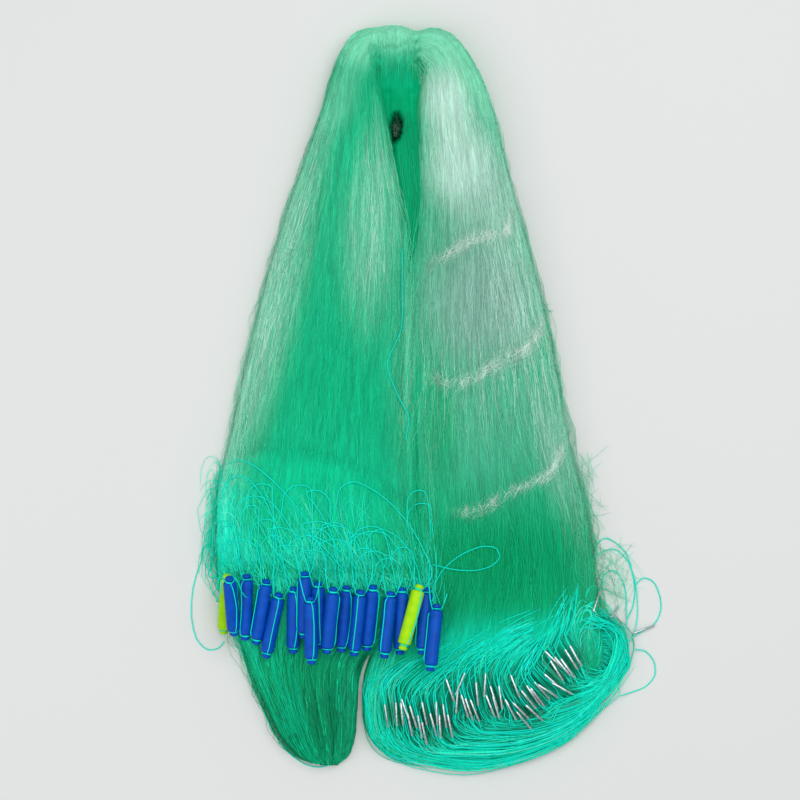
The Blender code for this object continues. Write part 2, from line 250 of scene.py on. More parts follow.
leftRows = ribTable[:17]
rightRows = ribTable[:29:-1]
legParting = -12 * mm  # where the left leg ends and the right one begins


def acrossAt(x, y):
    # how far across its leg a place is: 0 at the outer edge, 1 at the inner edge
    isLeft = x < legParting
    outer, inner = (
        np.where(
            isLeft,
            np.interp(y, leftRows[:, 1], leftRows[:, side]),
            np.interp(y, rightRows[:, 1], rightRows[:, side]),
        )
        for side in (0, 2)
    )
    return (x - outer) / (inner - outer)


# ---- colours of the netting, by where it lies

shades = {
    "green": (0.01, 0.55, 0.27),
    "strong": (0.004, 0.58, 0.28),
    "vivid": (0.03, 0.60, 0.32),
    "deep": (0.0, 0.45, 0.19),
    "rich": (0.001, 0.46, 0.18),
    "shaded": (0.001, 0.27, 0.11),
    # painted shade: a dark green laid where shade falls, round the leads and in and round the panel's
    # hole
    "dark": (0.001, 0.20, 0.08),
    "mint": (0.15, 0.70, 0.44),
    "edge": (0.16, 0.62, 0.40),
    "crown": (0.27, 0.86, 0.57),
    "white": (0.60, 0.88, 0.76),
    "grey": (0.24, 0.50, 0.40),
    "greyMint": (0.27, 0.59, 0.45),
    "pale": (0.075, 0.56, 0.33),
    "sea": (0.002, 0.68, 0.36),
    "turquoise": (0.002, 0.84, 0.57),
    "spark": (0.84, 0.97, 0.90),
    "twine": (0.015, 0.90, 0.66),
}
shades = {name: np.array(shade) for name, shade in shades.items()}

# middle of each zone, its half width and half length (mm), lean (degrees), shade, strength
zones = [
    (-150, 40, 22, 130, 15, "edge", 0.8),
    (-116, 190, 16, 110, 15, "edge", 0.7),
    (-50, 160, 26, 84, 4, "mint", 0.7),
    (-60, 238, 11, 46, 12, "strong", 0.85),
    (-80, 166, 11, 66, 10, "vivid", 0.3),
    (-78, 272, 15, 34, 18, "mint", 0.75),
    (-80, 5, 46, 80, 6, "strong", 0.95),
    (-28, 40, 12, 60, 0, "vivid", 0.6),
    (-105, -98, 92, 62, 0, "sea", 1.0),
    (-20, -120, 24, 60, 6, "green", 0.6),
    (-105, -275, 70, 66, 0, "shaded", 0.95),
    (-120, -235, 60, 20, 0, "rich", 0.6),
    (62, -150, 92, 62, -4, "rich", 1.0),
    (60, -30, 62, 58, -12, "pale", 0.95),
    (118, -40, 20, 60, -14, "greyMint", 0.5),
    (14, -195, 14, 40, 0, "shaded", 0.45),
    (12, -20, 14, 50, 0, "rich", 0.6),
    (50, 92, 56, 64, -12, "grey", 0.95),
    (52, 192, 44, 56, -13, "greyMint", 0.95),
    # painted sheen: the whitish top of the right leg
    (18, 271, 21, 44, -9, "white", 1.0),
    (28, 212, 27, 34, -10, "white", 0.85),
    (60, 256, 11, 46, -20, "mint", 0.8),
    (70, -222, 92, 30, -4, "turquoise", 0.8),
    (60, -268, 100, 46, 4, "turquoise", 0.9),
    # painted shade along the rows of leads
    (-2, -280, 40, 15, -2, "dark", 0.8),
    (58, -270, 36, 15, -6, "dark", 0.7),
    (112, -243, 34, 15, -30, "dark", 0.7),
    (-192, -100, 28, 62, -4, "turquoise", 0.8),
    (-30, -262, 26, 60, 4, "rich", 0.75),
    # the crown's pale green, partly painted sheen on the top of the fold
    (-62, 318, 22, 18, 20, "crown", 0.8),
    (-30, 338, 40, 24, 0, "crown", 1.0),
    (20, 322, 34, 24, -30, "crown", 0.95),
    (46, 290, 14, 34, -28, "crown", 0.7),
    # painted shade in the dent beside the middle lobe
    (-43, 305, 4.5, 17, -8, "rich", 0.85),
]

# creases left by the folded packet: they cross the right leg as whitish ridges
creases = [
    [(0, 122), (12, 129), (22, 136), (37, 145), (55, 151), (72, 153), (76, 174)],
    [(3, 25), (15, 19), (29, 18), (48, 26), (68, 40), (87, 49), (100, 63), (108, 83)],
    [(24, -96), (39, -97), (58, -89), (73, -79), (92, -72), (107, -65), (118, -50), (126, -33)],
]


def creaseDistance(x, y):
    best = np.full(np.shape(x), 1.0)
    for line in creases:
        for (ax, ay), (bx, by) in zip(line, line[1:]):
            dx, dy = (bx - ax) * mm, (by - ay) * mm
            t = np.clip(((x - ax * mm) * dx + (y - ay * mm) * dy) / (dx * dx + dy * dy), 0, 1)
            away = np.hypot(x - ax * mm - t * dx, y - ay * mm - t * dy)
            best = np.minimum(best, away)
    return best


def ovalShare(x, y, oval, power=1):
    # 1 in the middle of a leaning oval, 0 well outside it; the power sharpens its edge
    midX, midY, wide, long, lean = oval
    turn = math.radians(lean)
    dx, dy = x - midX * mm, y - midY * mm
    along = (dx * math.sin(turn) + dy * math.cos(turn)) / (long * mm)
    across = (dx * math.cos(turn) - dy * math.sin(turn)) / (wide * mm)
    return np.exp(-((along**2 + across**2) ** power))


def bell(share):
    return np.exp(-(share**2))


def ramp(value, start, over):
    # 0 up to the start, and then up to 1
    return np.clip((value - start) / over, 0, 1)


def blended(colour, other, share):
    return colour * (1 - share) + other * share


def tintAt(x, y):
    x, y = np.asarray(x), np.asarray(y)
    colour = toned("green", x.shape)
    for *oval, shade, strength in zones:
        share = strength * ovalShare(x, y, oval, 1.6)[..., None]
        colour = blended(colour, shades[shade], share)
    return colour


def toned(shade, shape):
    return np.ones((*shape, 3)) * shades[shade]


# ---- materials


def setInputs(node, values):
    for key, value in values.items():
        node.inputs[key].default_value = value


def newMaterial(name, finish):
    # the material and its shader, and helpers that add a node, link two sockets and add a bump
    made = bpy.data.materials.new(name)
    made.use_nodes = True
    tree = made.node_tree
    shader = tree.nodes["Principled BSDF"]
    setInputs(shader, finish)

    def add(kind, values={}):
        node = tree.nodes.new("ShaderNode" + kind)
        setInputs(node, values)
        return node

    def link(source, output, target, entry):
        tree.links.new(source.outputs[output], target.inputs[entry])

    def bump(source, strength, depth):
        relief = add("Bump", {"Strength": strength, "Distance": depth})
        link(source, "Fac", relief, "Height")
        link(relief, "Normal", shader, "Normal")

    return made, shader, add, link, bump


def netMaterial(name, finish, flow, stretch, grain, spread, relief=None):
    # the piece's own tint, streaked along flow, a UV map, or else along the object's own Y
    made, shader, add, link, bump = newMaterial(name, finish)
    tint = add("VertexColor")
    tint.layer_name = "tint"
    place = add("UVMap" if flow else "TexCoord")
    if flow:
        place.uv_map = flow
    fibres = add("Mapping", {"Scale": stretch})
    streaks = add("TexNoise", {"Scale": 1, "Detail": grain[0], "Roughness": grain[1]})
    shift = {"From Min": 0.3, "From Max": 0.7, "To Min": spread[0], "To Max": spread[1]}
    tone = add("MapRange", shift)
    mix = add("Mix")
    mix.data_type = "RGBA"
    mix.blend_type = "MULTIPLY"
    mix.inputs["Factor"].default_value = 1
    link(place, "UV" if flow else "Object", fibres, "Vector")
    link(fibres, "Vector", streaks, "Vector")
    link(streaks, "Fac", tone, "Value")
    link(tint, "Color", mix, "A")
    link(tone, "Result", mix, "B")
    link(mix, "Result", shader, "Base Color")
    if relief:
        bump(streaks, *relief)
    return made


def grainMaterial(name, finish, grain, stops, rough=None, relief=None):
    # a fine noise between two colours, each at its stop, that can vary the roughness and the height
    made, shader, add, link, bump = newMaterial(name, finish)
    noise = add("TexNoise", {"Scale": grain[0], "Detail": grain[1]})
    link(add("TexCoord"), "Object", noise, "Vector")
    scale = add("ValToRGB")
    for element, (position, colour) in zip(scale.color_ramp.elements, stops):
        element.position = position
        element.color = (*colour, 1)
    link(noise, "Fac", scale, "Fac")
    link(scale, "Color", shader, "Base Color")
    if rough:
        wear = add("MapRange", {"To Min": rough[0], "To Max": rough[1]})
        link(noise, "Fac", wear, "Value")
        link(wear, "Result", shader, "Roughness")
    if relief:
        bump(noise, *relief)
    return made


def mouldedMaterial(name, colour, worn):
    stops = [(0.35, colour), (0.75, worn)]
    finish = {"Specular IOR Level": 0.16}
    return grainMaterial(name, finish, (140, 4), stops, (0.36, 0.6), (0.15, 0.3 * mm))


looks = {
    "skin": netMaterial(
        "gatheredNet", {"Roughness": 0.6, "Specular IOR Level": 0.04},
        "flow", (260, 9, 1), (5, 0.65), (0.68, 1.18), (0.35, 0.5 * mm),
    ),
    "strand": netMaterial(
        "netStrand", {"Roughness": 0.45, "Specular IOR Level": 0.03},
        None, (330, 16, 330), (3, 0.5), (0.86, 1.14),
    ),
    "blue": mouldedMaterial("blueFloat", (0.0, 0.072, 0.46), (0.0, 0.10, 0.60)),
    "blueKnob": mouldedMaterial("blueKnob", (0.002, 0.12, 0.55), (0.004, 0.18, 0.66)),
    "yellow": mouldedMaterial("yellowFloat", (0.36, 0.78, 0.0), (0.50, 0.90, 0.01)),
    "yellowKnob": mouldedMaterial("yellowKnob", (0.30, 0.86, 0.02), (0.42, 0.95, 0.04)),
    "cord": grainMaterial(
        "turquoiseCord", {"Roughness": 0.5, "Specular IOR Level": 0.1}, (900, 2),
        [(0.3, (0.002, 0.84, 0.62)), (0.7, (0.004, 0.98, 0.78))], relief=(0.3, 0.15 * mm),
    ),
    "lead": grainMaterial(
        "dullLead", {"Metallic": 0.9}, (420, 4),
        [(0.3, (0.38, 0.46, 0.47)), (0.7, (0.74, 0.86, 0.86))], rough=(0.22, 0.36),
    ),
}

# ---- cords first: the lead line in its stacked turns, the float line in its heap

cordSize = {
    "diameter": 1.1 * mm,
    "sides": 0,
    "step": 2.5 * mm,
    "bend": 7,
    "longest": 14 * mm,
    "tightest": 3.0 * mm,
    "atTies": 2.3 * mm,
    "passes": 250,
    "push": 0.15 * mm,
}


def thinned(line):
    # keeps a point where the line has turned, or has gone on for long
    way = np.diff(line, axis=0)
    gaps = np.linalg.norm(way, axis=1)
    way /= gaps[:, None]
    least = math.cos(math.radians(cordSize["bend"]))
    kept, run, heading = [0], 0.0, way[0]
    for k in range(1, len(line) - 1):
        run += gaps[k - 1]
        if way[k] @ heading < least or run > cordSize["longest"]:
            kept.append(k)
            run, heading = 0.0, way[k]
    return line[kept + [len(line) - 1]]


def eased(line, least):
    # opens the bends that are too tight for the cord
    for _ in range(cordSize["passes"]):
        before, after = line[1:-1] - line[:-2], line[2:] - line[1:-1]
        sides = np.linalg.norm(before, axis=1) * np.linalg.norm(after, axis=1)
        sides *= np.linalg.norm(line[2:] - line[:-2], axis=1)
        turned = np.linalg.norm(np.cross(before, after), axis=1)
        tight = np.flatnonzero(sides < 2 * least * turned) + 1
        if not len(tight):
            break
        tips = tight[(tight > 2) & (tight < len(line) - 3)]
        apart = line[tips - 2] - line[tips + 2]
        wide = np.linalg.norm(apart, axis=1, keepdims=True)
        push = apart / np.maximum(wide, 0.1 * mm) * np.where(wide < 2 * least, cordSize["push"], 0)
        line[tips - 2] += push
        line[tips + 2] -= push
        tight = np.unique(np.clip(np.concatenate([tight - 1, tight, tight + 1]), 1, len(line) - 2))
        line[tight] += ((line[tight - 1] + line[tight + 1]) / 2 - line[tight]) / 2
    return line


def cordCurve(name, points, diameter=cordSize["diameter"], least=cordSize["tightest"]):
    points = np.asarray(points, float)
    gaps = np.linalg.norm(np.diff(points, axis=0), axis=1)
    points = points[np.concatenate([[True], gaps > 0.2 * mm])]
    gaps = np.linalg.norm(np.diff(points, axis=0), axis=1)
    knots = np.concatenate([[0], np.cumsum(gaps)])
    at = [0.0]
    for low, high in zip(knots, knots[1:]):
        count = max(1, math.ceil((high - low) / cordSize["step"]))
        at += [low + (high - low) * (k + 1) / count for k in range(count)]
    line = smoothAlong(knots, points, np.array(at))
    line[:, 2] = np.maximum(line[:, 2], diameter / 2 + 0.1 * mm)
    line = thinned(eased(line, least))
    data = bpy.data.curves.new(name, "CURVE")
    data.dimensions = "3D"
    data.bevel_depth = diameter / 2
    data.bevel_resolution = cordSize["sides"]
    data.use_fill_caps = True
    data.materials.append(looks["cord"])
    spline = data.splines.new("POLY")
    spline.points.add(len(line) - 1)
    spline.points.foreach_set("co", np.column_stack([line, np.ones(len(line))]).ravel())
    piece = linked(name, data)
    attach(piece, "root")
    length = float(np.linalg.norm(np.diff(line, axis=0), axis=1).sum())
    print(f"{name}: {length:.2f} m, {len(line)} points")
    return piece, length


def axisOf(node):
    co = np.array([v.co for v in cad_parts[node].data.vertices])
    middle = (co.min(axis=0) + co.max(axis=0)) / 2
    middle = co.mean(axis=0) if np.linalg.norm(co.mean(axis=0) - middle) < 0.5 * mm else middle
    way = np.linalg.svd(co - co.mean(axis=0), full_matrices=False)[2][0]
    return middle, way if way[1] > 0 else -way


leadSize = {
    "length": 21 * mm,
    "diameter": 2.4 * mm,
    "radius": 1.1 * mm,
    "squeeze": 0.3 * mm,
    "gap": 0.3 * mm,
    "probe": 7 * mm,
    "steepest": 0.5,
}

# leads that have no solid of their own: middle (mm) and lean (degrees, upper end towards +X)
moreLeads = [
    (-19, -274, -20),
    (-15, -287, -12),
    (9, -277, -3),
    (16, -279, -8),
    (27, -266, 4),
    (38, -273, -19),
    (62, -271, -16),
    (57, -270, -22),
    (87, -283, -40),
    (99, -262, -36),
    (113, -228, -45),
    (121, -234, -40),
    (126, -236, -36),
    (129, -228, -32),
    (113, -248, -49),
]


def leadPlaces():
    places = []
    for node in sorted(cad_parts):
        if node.startswith("lead_") and node[5:].isdigit():
            middle, way = axisOf(node)
            places.append((middle, way, node))
    for x, y, lean in moreLeads:
        x, y, lean = x * mm, y * mm, math.radians(lean)
        top = max(float(heightAt(leadTop, x, y)), float(heightAt(netTop, x, y)))
        middle = np.array([x, y, top + leadSize["diameter"] / 2 + leadSize["gap"]])
        flat = np.array([math.sin(lean), math.cos(lean)])
        ends = [middle[:2] + sign * flat * leadSize["probe"] for sign in (1, -1)]
        drop = float(heightAt(leadTop, *ends[0]) - heightAt(leadTop, *ends[1]))
        rise = drop / (2 * leadSize["probe"])
        way = np.array([*flat, max(min(rise, leadSize["steepest"]), -leadSize["steepest"])])
        places.append((middle, way / np.linalg.norm(way), None))
    return places


# how a turn runs, in millimetres: above a lead from its top end, for turns from the right to the
# left one, and below the leads, for the innermost and the outermost turn
turnShares = [0.0, 0.25, 0.5, 0.75, 1.0]
aboveLead = [
    [(-3, 11), (2, 24), (7, 39), (10, 53), (14, 66)],
    [(-2, 14), (1, 28), (11, 41), (25, 52), (39, 61)],
    [(-1, 14), (6, 28), (21, 40), (40, 50), (58, 57)],
    [(-2, 12), (3, 23), (15, 34), (31, 43), (48, 50)],
    [(-2, 10), (1, 19), (9, 28), (20, 35), (32, 41)],
]
innerGuide = [
    (140, -239), (143, -241.5), (146.5, -243.5), (150, -244.5), (153.5, -244.5), (157, -244),
    (160.5, -242.5), (164, -239.5), (167.5, -234), (171, -223.5), (172, -212), (168, -203),
    (159, -197), (148, -194),
]
outerGuide = [
    (-39, -300), (-28, -315), (-8, -322), (19, -326), (49, -327), (78, -321), (106, -311),
    (130, -298), (152, -277), (170, -256), (183, -233), (186, -217), (180, -203), (165, -193),
]
turnSize = {
    "left": -40 * mm,
    "right": 137 * mm,
    "netEdge": 149 * mm,
    "soft": 16 * mm,
    "fan": 20 * mm,
    "twineTurns": 60,
    "twine": 0.9 * mm,
    "loose": [0.94, 0.99, 1.03, 1.06, 1.1, 1.15],
    "early": 0.8,
    "stray": 0.9 * mm,
    "wander": 3.2 * mm,
    "onward": 13 * mm,
    "hankTop": -215 * mm,
    "hankSide": 140 * mm,
    "reach": (0.88, 1.14),
    "straightUp": 11 * mm,
    "straightDown": 7 * mm,
    # shares of a miss at a lead's lower end that the first places below it take up
    "settle": [1, 0.75, 0.45, 0.2, 0.06],
    "under": 9 * mm,
    "lowest": 3.5 * mm,
}
underEdge = np.array([(-5, 7), (-14, 10), (-25, 10), (-36, 8)]) * mm
insideNet = np.array([(-15, 3), (-30, 4)]) * mm
# the last of the lead line: two open loops beside the netting (mm)
looseLoops = [
    (150, -182, 5), (159, -166, 3), (161, -155, 1.2), (170, -151, 1.0), (177, -159, 1.0),
    (181, -173, 1.0), (181, -186.5, 2.0), (181, -201, 7.0), (176, -212, 9.0), (184, -214, 7.5),
    (189.5, -203, 3.2), (191.5, -186, 1.0), (190.5, -168, 2.0), (186.5, -151, 1.0),
    (181, -140, 1.0), (171, -132, 1.0), (161, -133, 1.2), (150, -141, 4.0), (140, -150, 8.0),
]


def heldBelow(values, edge, soft):
    # leaves values alone up to edge less soft, then closes in on edge
    over = np.maximum(values - edge + soft, 0)
    return np.where(over > 0, edge - soft * np.exp(-over / soft), values)


def restAt(x, y, level):
    # on the hank's solid, or on the netting or the floor beside it
    low = heightAt(leadUnder, x, y, "open")
    high = heightAt(leadTop, x, y, "open")
    base = heightAt(netTop, x, y) + 0.9 * mm
    beside = base + np.where(base < 2 * mm, level * 4 * mm, level * 0.8 * mm)
    return np.where(np.isnan(low) | np.isnan(high), beside, low + (high - low) * level + 0.6 * mm)


def evened(values, passes):
    for _ in range(passes):
        values[1:-1] = (values[:-2] + 2 * values[1:-1] + values[2:]) / 4
    return values


def turnAbove(top, way, share, level):
    # from inside the netting, over its edge and down to a lead's top end
    reach = dice.uniform(*turnSize["reach"]) * (1 - 0.26 * max(0, 1 - share / 0.4))
    table = np.array(aboveLead, float)
    guide = [[np.interp(share, turnShares, table[:, k, side]) for side in (0, 1)] for k in range(5)]
    stray = dice.normal(0, turnSize["stray"], 2) * np.arange(1, 6)[:, None] / 3
    above = np.array(guide) * mm * reach + top[:2] + stray
    above[0] = 0.35 * above[0] + 0.65 * (top[:2] + way[:2] * turnSize["straightUp"])
    onward = above[-1] - above[-2]
    onward *= turnSize["onward"] / np.linalg.norm(onward)
    above = np.concatenate([above, above[-1:] + onward, above[-1:] + 2 * onward])
    above[:, 0] = heldBelow(above[:, 0], turnSize["netEdge"], turnSize["soft"])
    above[:, 0] -= dice.uniform(0, turnSize["fan"]) * np.linspace(0, 1, 7) * max(0, 1 - share / 0.45)
    heights = restAt(above[:, 0], above[:, 1], level)
    netting = heightAt(netTop, above[:, 0], above[:, 1])
    sinks = 5 if share > 0.5 else dice.integers(3, 6)
    heights[3:] = netting[3:] + dice.uniform(0.0, 0.9) * mm
    heights[4] = netting[4] + dice.uniform(-2.5, 0.6) * mm
    heights[sinks:] = netting[sinks:] - np.linspace(5, 12, 7 - sinks) * mm
    beside = above[6] + 0.6 * np.array([onward[1], -onward[0]]) - 0.4 * onward
    return [(*beside, heights[6] - 1 * mm), *((*above[k], heights[k]) for k in range(6, -1, -1))]


def turnBelow(foot, way, lane, level):
    # from a lead's lower end round the lobe's edge, and in under the netting
    below = np.array(innerGuide) * mm * (1 - lane) + np.array(outerGuide) * mm * lane
    miss = foot[:2] - way[:2] * turnSize["straightDown"] - below[0]
    below[:5] += miss * np.array(turnSize["settle"])[:, None]
    wander = evened(dice.normal(0, turnSize["wander"], (len(below), 2)), 3)
    below += wander * np.linspace(0.4, 1.6, len(below))[:, None] + dice.normal(0, 1.2 * mm, 2)
    onward = insideNet
    if dice.random() < turnSize["early"]:
        below = below[: dice.integers(8, 12)]
        onward = underEdge * dice.uniform(0.8, 1.2)
    levels = restAt(below[:, 0], below[:, 1], level)
    inside = below[-1] + onward
    ends = heightAt(netTop, inside[:, 0], inside[:, 1]) - turnSize["under"]
    ends = np.maximum(ends, turnSize["lowest"])
    levels = evened(np.concatenate([[foot[2]], levels, ends]), 2)[1:]
    return [(*spot, z) for spot, z in zip(np.concatenate([below, inside]), levels)]


def leadTurn(middle, way, share, hasLead):
    level = dice.uniform(0.05, 0.98)
    half = way * leadSize["length"] / 2
    top, foot = middle + half, middle - half
    above = turnAbove(top, way, share, level)
    lane = share if hasLead else share + dice.normal(0, 0.03)
    below = turnBelow(foot, way, lane, level)
    if hasLead:
        return above + [tuple(top), tuple(middle), tuple(foot)] + below
    return above + [(x, y, float(restAt(x, y, level))) for x, y, _ in (top, middle, foot)] + below


places = leadPlaces()
inHank = [p for p in places if p[0][1] < turnSize["hankTop"] and p[0][0] < turnSize["hankSide"]]
hankLeads = sorted(inHank, key=lambda p: -p[0][0])


def shareOf(x):
    span = turnSize["right"] - turnSize["left"]
    return float(np.clip((turnSize["right"] - x) / span, 0, 1))


def leadLinePath():
    path = []
    for middle, way, _ in hankLeads:
        path += leadTurn(middle, way, shareOf(middle[0]), True)
    return path + [tuple(value * mm for value in spot) for spot in looseLoops]


hankSpots, hankWays = (np.array([p[k] for p in hankLeads])[::-1] for k in (0, 1))
evenSpots, evenWays = evened(hankSpots.copy(), 3), evened(hankWays.copy(), 3)


def twineTurn(x, share=None):
    # a turn with no lead, among those with one
    middle, way = (
        np.array([np.interp(x, hankSpots[:, 0], table[:, k]) for k in range(3)])
        for table in (evenSpots, evenWays)
    )
    beyond = min(x - hankSpots[0, 0], 0)
    middle[:2] += dice.normal(0, 2.5 * mm, 2) + (beyond, 0)
    share = shareOf(x) if share is None else share
    return leadTurn(middle, way / np.linalg.norm(way), share, False)


def leadTwinePath():
    # the thinner line that hangs the netting on the lead line
    path = []
    for x in np.linspace(turnSize["right"], turnSize["left"], turnSize["twineTurns"]):
        path += twineTurn(x + dice.normal(0, 1.5 * mm))
    for loose in turnSize["loose"]:
        path += twineTurn(turnSize["left"] - dice.uniform(0, 14) * mm, loose)
    return path


leadLine, leadLength = cordCurve("leadLine", leadLinePath())
leadTwine, twineLength = cordCurve("leadTwine", leadTwinePath(), turnSize["twine"])
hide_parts("lead_line")
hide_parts("lead_line")

# ---- the float line: tied round both grooves of every float, and curled in a heap above them

# in millimetres and degrees, but for the slope from which a float counts as steep
floatSize = {
    "neck": 3.1,
    "groove": 25.8,
    "knob": 24.9,
    "clear": 0.7,
    "spread": 0.9,
    "steep": 0.3,
    "leans": [(-60, 60), (75, 105), (-105, -75)],
    "bow": 14,
}

# place along the float (mm), angle round it (degrees, 90 on top), distance from its axis (mm)
tieIn = [(44, 178, 8.5), (34, 180, 6.5), (29, 182, 5)]
runDown = [(21, 100, 6.3), (12, 96, 6.7), (0, 92, 6.7), (-12, 96, 6.7), (-21, 100, 6.3)]
runUp = [(-20, -92, 6.5), (-6, -92, 6.7), (8, -90, 6.7), (20, -86, 6.5), (29, -20, 5.6)]
tieOut = [(40, 2, 8)]
# a float whose upper end stands clear of the netting has its line led down beside it
steepIn = [(4, 210, 15), (12, 200, 10), (22, 188, 7.4), (29, 182, 5)]
steepOut = [(24, -6, 7.4), (13, -16, 10), (4, -28, 15)]


def floatTie(middle, way):
    up = np.array([0, 0, 1.0])
    side = np.cross(way, up)
    side /= np.linalg.norm(side)
    up = np.cross(side, way)
    ring = floatSize["neck"] + floatSize["clear"]
    groove, spread = floatSize["groove"], floatSize["spread"]
    lean = dice.choice([dice.uniform(*span) for span in floatSize["leans"]])
    bow = dice.uniform(-floatSize["bow"], floatSize["bow"])
    # the angles round the upper and the lower groove, more than a turn of each
    upper = np.arange(180, -259 + min(lean, 0), -30)
    lower = np.arange(100 + lean, -451, -35)
    steep = way[2] > floatSize["steep"]
    route = list(steepIn if steep else tieIn)
    route += [(groove + spread * (k / len(upper) - 0.5), a, ring) for k, a in enumerate(upper)]
    route += [
        (along, angle + lean + bow * math.cos(along / 14), away) for along, angle, away in runDown
    ]
    route += [(-groove + spread * (k / len(lower) - 0.5), a, ring) for k, a in enumerate(lower)]
    route += runUp + (steepOut if steep else tieOut)
    made = []
    for along, angle, away in route:
        turn = math.radians(angle)
        out = math.cos(turn) * side + math.sin(turn) * up
        made.append(middle + way * along * mm + out * away * mm)
    return made


def heapRest(x, y, level):
    # on the netting, and in the top of the heap where there is one
    rise = max(float(heightAt(heapRise, x, y)) - 1.5 * mm, 0)
    return float(heightAt(netTop, x, y)) + rise + (0.5 + 1.6 * level) * mm


heapSize = {
    "left": (190, 207),
    "leftSoft": 14 * mm,
    "right": (5, 20),
    "rightSoft": 12 * mm,
    "laps": 2,
    "apart": 9 * mm,
    "lapTop": (140, 205),
    "lapFoot": (-60, -10),
    "lapDepth": (8, 17),
    # its left side, and how far from each side a curl has less room
    "side": -204 * mm,
    "leftRoom": 60 * mm,
    "rightRoom": 50 * mm,
    "shortCurl": (14, 42),
    "longCurl": 36,
    "turnOver": (7, 20),
    "sway": (0.5, 2.4),
    # how far a curl may rise, and how far it drops back, where it leaves a float and comes back
    "leave": (96, (6, 30)),
    "return": (90, (5, 24)),
}


def leftMiddle(y, share):
    # a place inside the left leg, clear of both its edges
    outer = np.interp(y, leftRows[:, 1], leftRows[:, 0]) + 16 * mm
    inner = np.interp(y, leftRows[:, 1], leftRows[:, 2]) - 18 * mm
    return float(outer + (inner - outer) * share)


def curlSize(x, highest):
    # how far a curl rises, leans and turns over, less of each near the heap's two sides
    room = float(np.clip((x - heapSize["side"]) / heapSize["leftRoom"], 0.05, 1))
    spare = float(np.clip(-x / heapSize["rightRoom"], 0, 1))
    short, long = dice.uniform(*heapSize["shortCurl"]), dice.uniform(heapSize["longCurl"], highest)
    rise = dice.choice([short, long]) * mm
    lean = -rise * dice.uniform(-0.1 * spare, 0.95 * room)
    turn = dice.uniform(*heapSize["turnOver"]) * mm
    if dice.random() < 0.65 * room or spare < 0.3:
        turn *= -max(room, 0.3)
    return rise, lean, turn


# shares of a curl's lean and rise on the way up, and of its turn on the way over
arcUp = [(0.12, 0.30), (0.38, 0.60), (0.72, 0.86), (1.0, 1.0)]
arcOver = [(0.6, 0.22), (1.3, 0.05), (1.8, -0.5)]


def heldInHeap(x, leftEdge, rightEdge):
    right = heldBelow(x, rightEdge, heapSize["rightSoft"])
    return -heldBelow(-right, leftEdge, heapSize["leftSoft"])


def lapThrough(last):
    # up inside the left leg and down again, first clear of the last place that the line was at
    farY, nearY = (dice.uniform(*heapSize[end]) * mm for end in ("lapTop", "lapFoot"))
    first, second = sorted(dice.uniform(0, 0.9, 2))
    if last and abs(leftMiddle(nearY, first) - last[0]) < heapSize["apart"]:
        first = (first + 0.3) % 0.9
    depth = dice.uniform(*heapSize["lapDepth"]) * mm
    stations = [nearY, 0.3 * farY, 0.7 * farY, farY]
    up = [(leftMiddle(y, first), y) for y in stations]
    down = [(leftMiddle(y, second + 0.1), y) for y in reversed(stations)]
    over = ((up[-1][0] + down[0][0]) / 2, farY + 7 * mm)
    return [(x, y, depth) for x, y in (*up, over, *down)]


def heapCurl(start, finish):
    # out of one float, over in an arc, in under the netting, and back out of it to the next float
    route = []
    level = dice.uniform(0.35, 1.0)
    leftEdge, rightEdge = (dice.uniform(*heapSize[side]) * mm for side in ("left", "right"))

    def lay(x, y, drop=0.0):
        x = float(heldInHeap(x, leftEdge, rightEdge))
        route.append((x, y, heapRest(x, y, level) - drop * mm))

    def arc(x, y, rise, lean, turn):
        # rises from a point, leans, and turns over to one side
        phase, sway = dice.uniform(0, math.tau), dice.uniform(*heapSize["sway"]) * mm
        for k, (side, up) in enumerate(arcUp):
            lay(x + lean * side + sway * math.sin(phase + 1.2 * k), y + rise * up)
        for side, up in arcOver:
            lay(x + lean + turn * side, y + rise + abs(turn) * up)
        return x + lean + turn * 1.95, y + rise - abs(turn) * 1.1

    highest, drops = heapSize["leave"]
    rise, lean, turn = curlSize(start[0], highest)
    x, y = arc(start[0], start[1], rise, lean, turn)
    drop = dice.uniform(*drops) * mm
    lay(x, y - drop * 0.4, 0.4)
    lay(x + turn * 0.2, y - drop, 3)
    lay(x + turn * 0.6, y - drop - 8 * mm, 9)
    for lap in range(heapSize["laps"]):
        route += lapThrough(route[-1] if lap else None)
    level = dice.uniform(0.35, 1.0)
    highest, drops = heapSize["return"]
    rise, lean, turn = curlSize(finish[0], highest)
    back = len(route)
    x, y = arc(finish[0], finish[1], rise, lean, turn)
    drop = dice.uniform(*drops) * mm
    lay(x, y - drop * 0.5, 0.6)
    lay(x + turn * 0.3, y - drop, 5)
    route[back:] = route[back:][::-1]
    return route


floatNodes = sorted(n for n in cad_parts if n.startswith("float_") and n[6:8].isdigit())
floatAxes = {node: axisOf(node) for node in floatNodes}
floatOrder = sorted(floatNodes, key=lambda node: floatAxes[node][0][0])


def floatLinePath():
    path = []
    ties = [floatTie(*floatAxes[node]) for node in floatOrder]
    for number, tie in enumerate(ties):
        path += tie
        if number + 1 < len(ties):
            path += heapCurl(tie[-1], ties[number + 1][0])
    return path


floatLine, floatLength = cordCurve("floatLine", floatLinePath(), least=cordSize["atTies"])
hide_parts("float_line")

